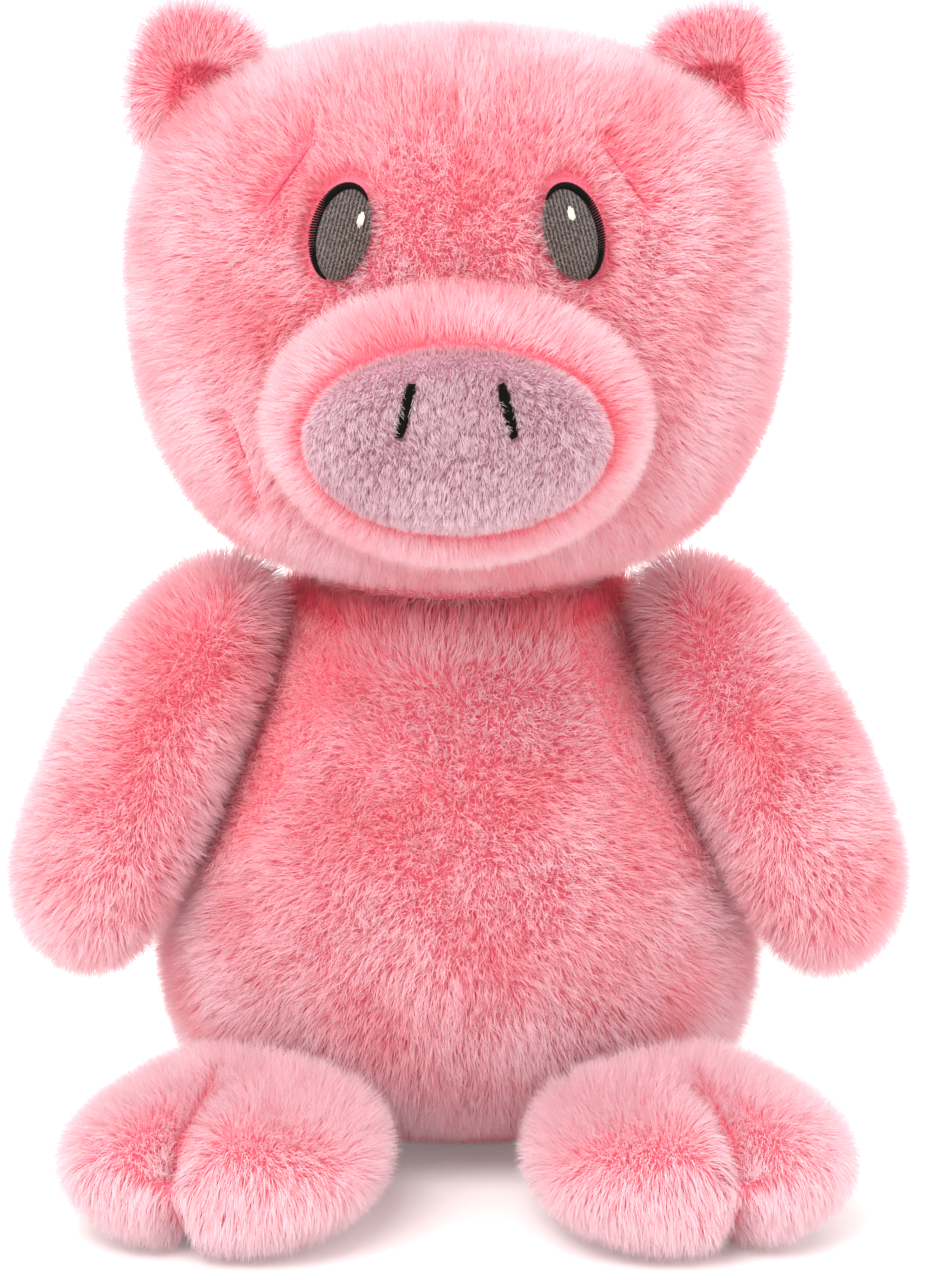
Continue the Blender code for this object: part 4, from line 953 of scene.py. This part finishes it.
def nearest_tuft(places, size, seed):
    """The middle of the tuft that each place belongs to, and that tuft's own three numbers."""
    cells = np.floor(places / size).astype(np.int64)
    best = np.full(len(places), np.inf)
    middle, own = np.zeros_like(places), np.zeros_like(places)
    for step in np.ndindex(3, 3, 3):
        keys = cells + np.array(step) - 1
        chance = scattered(keys, seed)
        centre = (keys + chance) * size
        distance = ((places - centre) ** 2).sum(axis=1)
        closer = distance < best
        best[closer] = distance[closer]
        middle[closer], own[closer] = centre[closer], scattered(keys[closer], seed + 7)
    return middle, own


# %% Roots, spread evenly over a skin
def skin_triangles(piece):
    mesh = piece.data
    mesh.calc_loop_triangles()
    corners = np.empty(len(mesh.loop_triangles) * 3, np.int32)
    mesh.loop_triangles.foreach_get("vertices", corners)
    return corners.reshape(-1, 3)


def spread_roots(piece, density, numbers):
    """Even random places on a skin, this many to the square millimetre, with the skin's normals."""
    points, normals, corners = points_of(piece), vertex_normals(piece), skin_triangles(piece)
    a, b, c = (points[corners[:, k]] for k in range(3))
    areas = np.linalg.norm(np.cross(b - a, c - a), axis=1) / 2
    count = int(areas.sum() / MM ** 2 * density)
    ladder = np.cumsum(areas) / areas.sum()
    chosen = np.searchsorted(ladder, (np.arange(count) + numbers.random(count)) / count)
    chosen = np.minimum(chosen, len(corners) - 1)
    u, v = numbers.random(count), numbers.random(count)
    over = u + v > 1
    u[over], v[over] = 1 - u[over], 1 - v[over]
    shares = np.array((1 - u - v, u, v)).T[:, :, None]
    places = (points[corners[chosen]] * shares).sum(axis=1)
    outward = (normals[corners[chosen]] * shares).sum(axis=1)
    return places, outward / np.linalg.norm(outward, axis=1, keepdims=True)


# %% Blades
def blades_mesh(name, root, middle, tip, side, half_width, tone):
    """Ribbons of one quad and one triangle each, with their tone and their rise as a map."""
    count = len(root)
    wide = side * half_width[:, None]
    points = np.stack((root - wide, root + wide, middle - wide * 0.8, middle + wide * 0.8, tip), axis=1)
    pattern = np.array((0, 1, 3, 2, 2, 3, 4))
    corners = (np.arange(count)[:, None] * 5 + pattern).astype(np.int32).ravel()
    starts = (np.arange(count)[:, None] * 7 + np.array((0, 4))).astype(np.int32).ravel()
    mesh = bpy.data.meshes.new(name)
    mesh.vertices.add(count * 5)
    mesh.vertices.foreach_set("co", points.astype(np.float32).ravel())
    mesh.loops.add(count * 7)
    mesh.loops.foreach_set("vertex_index", corners)
    mesh.polygons.add(count * 2)
    mesh.polygons.foreach_set("loop_start", starts)
    mesh.update(calc_edges=True)
    rise = np.array((0.02, 0.02, 0.5, 0.5, 0.5, 0.5, 0.98))
    place = np.empty((count, 7, 2), np.float32)
    place[:, :, 0] = np.clip(tone, 0.02, 0.98)[:, None]
    place[:, :, 1] = rise
    mesh.uv_layers.new(name="OFBake").data.foreach_set("uv", place.ravel())
    mesh.shade_smooth()
    return mesh


def unit(vectors):
    return vectors / np.maximum(np.linalg.norm(vectors, axis=1, keepdims=True), 1e-9)


LEAN_SOFT, LEAN_TUFT, TUFT_PULL, LEAN_ODD = 0.08, 0.12, 0.32, 0.17
TUFT_SIZE = 1.6 * MM
BLADE_HALF_WIDTH = 0.095 * MM
PILE = 7.6 * MM
DENSITY = 4.2
pile = []


def plant(name, skin, body, comb, keep, seed, material=PINK_PILE, density=DENSITY, length=PILE,
          bounds_of=None, tuft=TUFT_SIZE, tone_shift_and_painted_shade=None):
    """Plants pile on a skin. comb and keep give each root its lean and its share of the length."""
    numbers = np.random.default_rng(seed)
    root, outward = spread_roots(skin, density, numbers)
    share = keep(root, outward)
    root, outward, share = root[share > 0.02], outward[share > 0.02], share[share > 0.02]
    count = len(root)
    middle_of_tuft, own = nearest_tuft(root, tuft, seed)
    soft = drift(root, 22 * MM, seed + 1) * LEAN_SOFT + drift(root, 9 * MM, seed + 2) * LEAN_SOFT * 0.6
    odd = numbers.normal(size=(count, 3)) * LEAN_ODD
    lean = comb(root, outward) + (soft + (own - 0.5) * 2 * LEAN_TUFT + odd)
    lean -= outward * (lean * outward).sum(axis=1, keepdims=True)
    reach = length * share * (0.82 + 0.30 * numbers.random(count)) * (0.9 + 0.2 * own[:, 0])
    pull = middle_of_tuft - root
    pull -= outward * (pull * outward).sum(axis=1, keepdims=True)
    pull *= np.minimum(share, 1.0)[:, None]
    middle = root + unit(outward + lean * 0.55) * (reach * 0.5)[:, None] + pull * TUFT_PULL * 0.25
    tip = root + unit(outward + lean) * reach[:, None] + pull * TUFT_PULL
    if bounds_of:
        middle, tip = bounds_of(middle), bounds_of(tip)
    middle[:, 2] = np.maximum(middle[:, 2], 0.5 * MM)
    tip[:, 2] = np.maximum(tip[:, 2], 0.3 * MM)
    side = unit(np.cross(tip - root, unit(lean) + numbers.normal(size=(count, 3)) * 0.6))
    # Tone from pale to deep pink: random over patches, tufts and blades; deeper where the pile is pressed
    # short, as painted shade in creases and at contacts; and shifted by each part's own painted shade or tone
    # shift.
    hollow = drift(root, 30 * MM, seed + 3)[:, 0] * 0.13
    tone = 0.13 + hollow * 0.7 + (own[:, 1] - 0.5) * 0.22 + numbers.normal(size=count) * 0.09
    tone += (1 - np.minimum(share, 1.0)) * 0.18 + (tone_shift_and_painted_shade(root) if tone_shift_and_painted_shade else 0.0)
    half_width = BLADE_HALF_WIDTH * (0.75 + 0.5 * numbers.random(count))
    mesh = blades_mesh(name, root, middle, tip, side, half_width, tone)
    piece = link(name, mesh, material, body)
    pile.append(piece)
    print("%-22s %6d blades" % (name, count))


# %% [markdown]
# Pile is missing, or pressed short, wherever something else is: under the muzzle and the eyes, in the
# stitched creases, at the neck, and where a limb lies on the body. Each of these is one small rule.

# %% Where the pile is short
def rising(values, start, end):
    """0 up to start, 1 from end, soft between."""
    t = np.clip((values - start) / (end - start), 0.0, 1.0)
    return t * t * (3 - 2 * t)


def off_eye(places, hand):
    """How far out of the eye a place lies, 1 at its edge, and whether that is on its outer and upper side."""
    x, z = places[:, 0] - EYE_X * hand, places[:, 2] - EYE_Z
    lean = EYE_LEAN * hand
    u = x * math.cos(lean) + z * math.sin(lean)
    v = -x * math.sin(lean) + z * math.cos(lean)
    u, v = u / EYE_HALF_WIDTH, v / EYE_HALF_HEIGHT
    return np.hypot(u, v), rising(u * hand + 0.6 * v, -0.45, 0.45)


def off_crease(places, crease):
    """Distance from a stitched crease, as seen from the front, and the direction away from it."""
    x, z, long, lean = crease
    along = np.array((-math.sin(lean), math.cos(lean)))
    flat = places[:, [0, 2]] - np.array((x, z))
    t = np.clip(flat @ along, -long / 2, long / 2)
    away = flat - np.outer(t, along)
    return np.linalg.norm(away, axis=1), away


def off_muzzle(places):
    """1 at the muzzle's root, as seen from the front."""
    return np.hypot(places[:, 0] / MUZZLE_HALF_WIDTH, (places[:, 2] - MUZZLE_Z) / MUZZLE_HALF_HEIGHT)


def off_nose(places):
    """1 at the seam round the nose, as seen from the front."""
    return np.hypot(places[:, 0] / (NOSE_HALF_WIDTH + 1 * MM),
                    (places[:, 2] - NOSE_Z) / (NOSE_HALF_HEIGHT + 1 * MM))


def off_body(places, hand):
    """How far a place lies outside the plane where an arm rests on the body."""
    return places @ shoulder_normal(hand) - ARM_PLANE


def off_ear_root(places, hand):
    middle, along, _ = ear_place(hand)
    arms = places - middle
    t = np.clip(arms @ along, -EAR_BASE_HALF, EAR_BASE_HALF)
    return np.linalg.norm(arms - np.outer(t, along), axis=1)


def head_keep(places, outward):
    share = rising(distance(places, NECK_PIVOT), NECK_BALL + 0.3 * MM, NECK_BALL + 4.0 * MM)
    front = places[:, 1] < -20 * MM
    share *= np.where(front, rising(off_muzzle(places), 0.93, 0.99), 1.0)
    for hand in (-1, 1):
        off, outer = off_eye(places, hand)
        inner = 0.40 * rising(off, 0.92, 1.02) + 0.60 * rising(off, 1.0, 1.45)
        hidden = outer * rising(off, 1.12, 1.4) + (1 - outer) * inner
        share *= np.where(front, hidden, 1.0)
        share *= rising(off_ear_root(places, hand), 1.5 * MM, 3.5 * MM)
    for crease in creases:
        off, _ = off_crease(places, crease)
        share *= np.where(front, 0.30 + 0.70 * rising(off, 0.4 * MM, 3.6 * MM), 1.0)
    return share


def head_comb(places, outward):
    """Combed down and back from the forehead, and over the eyes' inner edges."""
    lean = np.tile(np.array((0.0, 0.05, -0.16)), (len(places), 1))
    for hand in (-1, 1):
        off, outer = off_eye(places, hand)
        near = (1 - rising(off, 1.2, 2.0)) * (places[:, 1] < 0)
        toward = unit(np.array((EYE_X * hand, -72 * MM, EYE_Z)) - places)
        lean += toward * (near * (0.10 - 0.40 * outer))[:, None]
    for crease in creases:
        off, away = off_crease(places, crease)
        near = (1 - rising(off, 0.0, 6.0 * MM)) * (places[:, 1] < 0)
        lean[:, [0, 2]] += unit(away) * (near * 0.5)[:, None]
    return lean


def body_keep(places, outward):
    off_neck = np.hypot(places[:, 0], places[:, 1])
    share = np.where(places[:, 2] > 143 * MM, rising(off_neck, 26 * MM, 31 * MM), 1.0)
    share *= rising(places[:, 2], 0.8 * MM, 5.0 * MM) * 0.6 + 0.4 * rising(places[:, 2], 8 * MM, 20 * MM)
    for side, hand in SIDES:
        share *= rising(distance(places, foot_place(hand)[0]), FOOT_HEEL - 0.5 * MM, FOOT_HEEL + 2.5 * MM)
        share *= 0.75 + 0.25 * rising(-off_body(places, hand), 2.0 * MM, 7.0 * MM)
    return share * rising(distance(places, tail_root), TAIL_BALL - 1 * MM, TAIL_BALL + 3 * MM)


def body_comb(places, outward):
    """Combed down, but up round the neck opening."""
    lean = np.zeros_like(places)
    lean[:, 2] = -0.18 + 0.75 * rising(places[:, 2], 128 * MM, 142 * MM)
    return lean


def body_shaded(places):
    """Painted shade: deeper pink below the chin, beside the arms and low on the belly by the floor."""
    low = 0.35 * (1 - rising(places[:, 2], 2 * MM, 28 * MM))
    shade = 0.55 * rising(places[:, 2], 139 * MM, 147 * MM) + low
    for side, hand in SIDES:
        shade += 0.20 * (1 - rising(-off_body(places, hand), 1.0 * MM, 4.5 * MM))
    return shade


# Painted shade: deeper pink under the chin and round the neck.
def head_shaded(places):
    under = 0.22 * (1 - rising(places[:, 2], 158 * MM, 180 * MM))
    return under + 0.55 * (1 - rising(distance(places, NECK_PIVOT), NECK_BALL, NECK_BALL + 6 * MM))


def body_bounds(places):
    for side, hand in SIDES:
        places = press_to_plane(places, shoulder_normal(hand), ARM_PLANE + 0.4 * MM)
    return places


# %% Body and head pile
def quarter(keep, ahead, aside):
    """The same rule on one side of the side seam and of the middle only."""
    def rule(places, outward):
        here = ((places[:, 1] + HEAD_FORWARD) * ahead > 0) & (places[:, 0] * aside > 0)
        return keep(places, outward) * here
    return rule


for name, skin, body, comb, keep, bounds_of, shaded in (
    ("body", body_skin, "torso", body_comb, body_keep, body_bounds, body_shaded),
    ("head", head_skin, "head", head_comb, head_keep, None, head_shaded),
):
    for ahead, face, share in ((-1, "front", 1.0), (1, "back", 0.75)):
        for side, hand in SIDES:
            plant("%s_pile_%s_%s" % (name, face, side), skin, body, comb, quarter(keep, ahead, hand),
                  len(pile) + 11, density=DENSITY * share, bounds_of=bounds_of, tone_shift_and_painted_shade=shaded)

# %% Muzzle and nose pile
def muzzle_keep(places, outward):
    seam = off_nose(places)
    share = rising(seam, 0.95, 1.0) * (0.70 + 0.30 * rising(seam, 1.0, 1.2))
    front = np.where(places[:, 1] < MUZZLE_FRONT, share, 1.0)
    return front * rising(face_depth(places[:, 0], places[:, 2]) + 3 * MM - places[:, 1], 0, 5 * MM)


def muzzle_comb(places, outward):
    lean = places - np.array((0.0, -70 * MM, MUZZLE_Z))
    lean[:, 1] = 0
    seam = off_nose(places)
    front = rising(-outward[:, 1], 0.2, 0.8)
    toward = (places[:, 1] < MUZZLE_FRONT) * (1 - rising(seam, 1.0, 1.10))
    return unit(lean) * (0.15 + 0.50 * front - 0.90 * toward)[:, None] + np.array((0, 0.25, -0.05))


def muzzle_shaded(places):
    """Painted shade: deep pink in the seam round the nose, and a little deeper tone all over."""
    seam = off_nose(places)
    return np.where(places[:, 1] < MUZZLE_FRONT, 0.32 * (1 - rising(seam, 1.0, 1.06)), 0.0) + 0.03


def nose_keep(places, outward):
    reach = np.hypot(places[:, 0] / NOSE_HALF_WIDTH, (places[:, 2] - NOSE_Z) / NOSE_HALF_HEIGHT)
    share = np.where(outward[:, 1] < 0.2, 1.0, 0.0) * (0.7 + 0.3 * (1 - rising(reach, 0.8, 1.0)))
    for slit in nostrils:
        off, _ = off_crease(places, slit)
        share *= rising(off, 0.4 * MM, 1.4 * MM)
    return share


def nose_comb(places, outward):
    return drift(places, 22 * MM, 7) * (0.15, 0.0, 0.10) + np.array((0.0, 0.0, -0.5))


plant("muzzle_pile", muzzle_skin, "head", muzzle_comb, muzzle_keep, 31, density=DENSITY * 1.1,
      length=6.5 * MM, tone_shift_and_painted_shade=muzzle_shaded)
plant("nose_pile", nose_skin, "head", nose_comb, nose_keep, 32, NOSE_PILE, DENSITY * 2.2, 3.6 * MM,
      tuft=2.6 * MM)

# %% Neck pile
def neck_keep(places, outward):
    return 0.8 * rising(np.hypot(places[:, 0], places[:, 1]), 33 * MM, 35.5 * MM)


plant("neck_pile", neck_skin, "neck", body_comb, neck_keep, 41)

# %% Limb pile
def arm_rules(hand):
    normal = shoulder_normal(hand)

    def keep(places, outward):
        off = off_body(places, hand)
        share = 0.6 + 0.4 * rising(off, 2.5 * MM, 9.0 * MM)
        top = rising(places[:, 2], 138 * MM, 150 * MM)
        return share * (1 + 0.4 * top * (1 - rising(off, 14 * MM, 20 * MM)))

    # Painted shade: deeper pink beside the body, where the arm lies on it.
    def shaded(places):
        off = off_body(places, hand)
        return 0.40 * (1 - rising(off, 1.0 * MM, 8.0 * MM)) + 0.15 * (1 - rising(off, 3.0 * MM, 15.0 * MM))

    def bounds_of(places):
        return -press_to_plane(-places, normal, -(ARM_PLANE - 0.4 * MM))
    return keep, bounds_of, shaded


def limb_comb(places, outward):
    return np.tile(np.array((0.0, -0.05, -0.25)), (len(places), 1))


def foot_rules(hand):
    centre, ahead, outside = foot_place(hand)

    def keep(places, outward):
        share = rising(distance(places, centre), FOOT_HEEL - 2 * MM, FOOT_HEEL + 3 * MM)
        found = [belly.find_nearest(Vector(p)) for p in places]
        pressed = np.array([(Vector(p) - near).dot(normal) for p, (near, normal, _, _) in zip(places, found)])
        share = np.maximum(share, 0.6 * rising(pressed, 1.0 * MM, 4.0 * MM))
        share *= 0.35 + 0.65 * rising(pressed, 1.5 * MM, 7 * MM)
        flat = places - centre
        place = flat @ ahead
        groove = np.abs(flat @ outside - FOOT_HALF_WIDTH * TOE_CLEFT_DRIFT * cleft_share(place))
        parted = 0.5 + 0.5 * rising(groove, 0.5 * MM, 5 * MM)
        share *= np.where(place > FOOT_LENGTH * 0.5, parted, 1.0)
        return share * (0.35 + 0.65 * rising(places[:, 2], 1.5 * MM, 8 * MM))

    def comb(places, outward):
        flat = places - centre
        groove = flat @ outside - FOOT_HALF_WIDTH * TOE_CLEFT_DRIFT
        push = np.sign(groove) * (1 - rising(np.abs(groove), 0, 9 * MM)) * (flat @ ahead > FOOT_LENGTH * 0.4)
        front = rising(outward @ ahead, -0.05, 0.5)
        return np.outer(push * 0.35, outside) + ahead * 0.32 + np.outer(front, -UP * 0.95)

    # Painted shade low by the floor and in the toe groove; the whole foot is also made paler by a fixed
    # share.
    def shaded(places):
        flat = places - centre
        groove = np.abs(flat @ outside - FOOT_HALF_WIDTH * TOE_CLEFT_DRIFT * cleft_share(flat @ ahead))
        low = 0.45 * (1 - rising(places[:, 2], 1.0 * MM, 10.0 * MM)) - 0.36
        return low + 0.25 * (1 - rising(groove, 0.5 * MM, 4.0 * MM)) * (flat @ ahead > FOOT_LENGTH * 0.45)
    return keep, comb, shaded


for side, hand in SIDES:
    keep, bounds_of, shaded = arm_rules(hand)
    plant("arm_pile_" + side, arm_skins[side], "arm_" + side, limb_comb, keep, 50 + hand,
          bounds_of=bounds_of, tone_shift_and_painted_shade=shaded)
    keep, comb, shaded = foot_rules(hand)
    plant("foot_pile_" + side, foot_skins[side], "foot_" + side, comb, keep, 60 + hand, tone_shift_and_painted_shade=shaded)

# %% Ear and tail pile
EAR_CORNER = np.array((4.0 * MM, 11.5 * MM))
EAR_OUTER_SIDE, EAR_UPPER_SIDE = np.array((-0.727, -0.687)), np.array((0.637, -0.771))


def ear_rules(hand):
    middle, along, out = ear_place(hand)

    def from_corner(places):
        return np.stack(((places - middle) @ along, (places - middle) @ out), axis=1) - EAR_CORNER

    def lining(places, outward):
        flat, start, end = from_corner(places), -0.5 * MM, 0.7 * MM
        return rising(flat @ EAR_OUTER_SIDE, start, end) * rising(flat @ EAR_UPPER_SIDE, start, end) * (
            outward[:, 1] < -0.2)

    def rim(places, outward):
        return (1 - lining(places, outward)) * (0.75 + 0.25 * (1 - rising(-outward[:, 1], 0.3, 0.9)))

    def short(places, outward):
        inward = from_corner(places) @ EAR_OUTER_SIDE
        return lining(places, outward) * (0.25 + 0.35 * rising(inward, 0.5 * MM, 7.0 * MM))
    return rim, short


def ear_comb(hand):
    """Combed outward from the lining and over the rim, and down over the outer end of the seam."""
    middle, along, out = ear_place(hand)

    def comb(places, outward):
        away = places - (middle + along * 4.0 * MM + out * 4.5 * MM)
        away[:, 1] = 0
        low = (rising((places - middle) @ along, 8 * MM, 16 * MM)
               * (1 - rising((places - middle) @ out, 4 * MM, 14 * MM)))
        front = rising(-outward[:, 1], 0.1, 0.7)
        return unit(away) * (0.35 + 0.95 * front)[:, None] + np.outer(low, along * 0.5 - out * 0.8)
    return comb


for side, hand in SIDES:
    rim, short = ear_rules(hand)
    plant("ear_pile_" + side, ear_skins[side], "ear_" + side, ear_comb(hand), rim, 70 + hand,
          density=DENSITY * 1.2, length=PILE * 0.85, tone_shift_and_painted_shade=lambda places: -0.12)
    plant("ear_lining_pile_" + side, ear_skins[side], "ear_" + side, ear_comb(hand), short, 80 + hand,
          LINING_PILE, DENSITY * 1.2)
plant("tail_pile", tail_skin, "tail", body_comb, lambda places, outward: np.ones(len(places)), 90,
      density=DENSITY * 1.3, length=5.0 * MM)
print("blades in all:", sum(len(p.data.vertices) // 5 for p in pile))

# %% [markdown]
# ## Floor and light
# A plain white floor, a broad soft light from above and in front on the left, a weaker one on the right and
# one behind, in a pale room. For the camera only, the floor adds a little white of its own, more of it
# further out, and the room is white, so that the toy stands on white and keeps its shadow.

# %% Floor, light and room
FLOOR_WHITE = "#F4F2F1"
FLOOR_REACH = 8.0


def seen_directly(tree):
    """1 for what the camera sees, also in a reflection, and 0 for the light that falls on things."""
    path = add_node(tree, "LightPath")
    seen = add_node(tree, "Math", [(0, path, "Is Camera Ray"), (1, path, "Is Glossy Ray")],
                    operation="MAXIMUM")
    return add_node(tree, "Math", [(0, seen, "Value"), (1, path, "Is Transmission Ray")],
                    operation="MAXIMUM")


corners = [(x * FLOOR_REACH, y * FLOOR_REACH, 0.0) for x, y in ((-1, -1), (1, -1), (1, 1), (-1, 1))]
floor_mesh = plain_mesh("studio_floor", corners, [(0, 1, 2, 3)])
studio_floor = bpy.data.objects.new("studio_floor", floor_mesh)
SCENE.collection.objects.link(studio_floor)
floor_paint, tree, shader = new_material("matt_white_paper", 0.9, Specular_IOR_Level=0.1)
shader.inputs["Base Color"].default_value = linear(FLOOR_WHITE)
seen = seen_directly(tree)
where = add_node(tree, "NewGeometry")
away = add_node(tree, "VectorMath", [(0, where, "Position")], operation="LENGTH")
far = add_node(tree, "MapRange", [("Value", away, "Value")], interpolation_type="SMOOTHSTEP",
               From_Min=0.30, From_Max=1.10, To_Min=0.16, To_Max=0.50)
lift = add_node(tree, "Math", [(0, seen, "Value"), (1, far, "Result")], operation="MULTIPLY")
tree.links.new(lift.outputs["Value"], shader.inputs["Emission Strength"])
shader.inputs["Emission Color"].default_value = (1.0, 1.0, 1.0, 1.0)
studio_floor.data.materials.append(floor_paint)
studio_floor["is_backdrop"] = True


def soft_light(name, place, size, power, look_at=(0.0, 0.0, 0.14)):
    data = bpy.data.lights.new(name, "AREA")
    data.shape, data.size, data.size_y, data.energy = "RECTANGLE", size[0], size[1], power
    light = bpy.data.objects.new(name, data)
    light.location = place
    light.rotation_euler = (Vector(place) - Vector(look_at)).to_track_quat("Z", "Y").to_euler()
    SCENE.collection.objects.link(light)


soft_light("key_softbox", (-0.5, -1.1, 1.3), (1.2, 1.0), 25.0)
soft_light("fill_softbox", (1.3, -0.7, 0.8), (0.9, 0.9), 5.0)
soft_light("rim_softbox", (0.2, 1.1, 1.1), (1.2, 0.6), 8.0)
room = bpy.data.worlds.new("pale_room")
SCENE.world = room
room.use_nodes = True
tree = room.node_tree
glow = tree.nodes["Background"]
glow.inputs["Color"].default_value = (1.0, 0.985, 0.975, 1.0)
glow.inputs["Strength"].default_value = 0.85
white = add_node(tree, "Background", Color=(1.0, 1.0, 1.0, 1.0), Strength=1.0)
seen = seen_directly(tree)
both = add_node(tree, "MixShader", [("Fac", seen, "Value"), (1, glow, "Background"),
                                    (2, white, "Background")])
tree.links.new(both.outputs["Shader"], tree.nodes["World Output"].inputs["Surface"])
SCENE.view_settings.view_transform = "Standard"

# %% Finish
VISUAL_BOX = [list(corner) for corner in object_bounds()]
grown = [[round((v - c) / MM, 1) for v, c in zip(a, b)] for a, b in zip(VISUAL_BOX, CAD_BOX)]
print("visual box beyond the solids in mm:", grown)
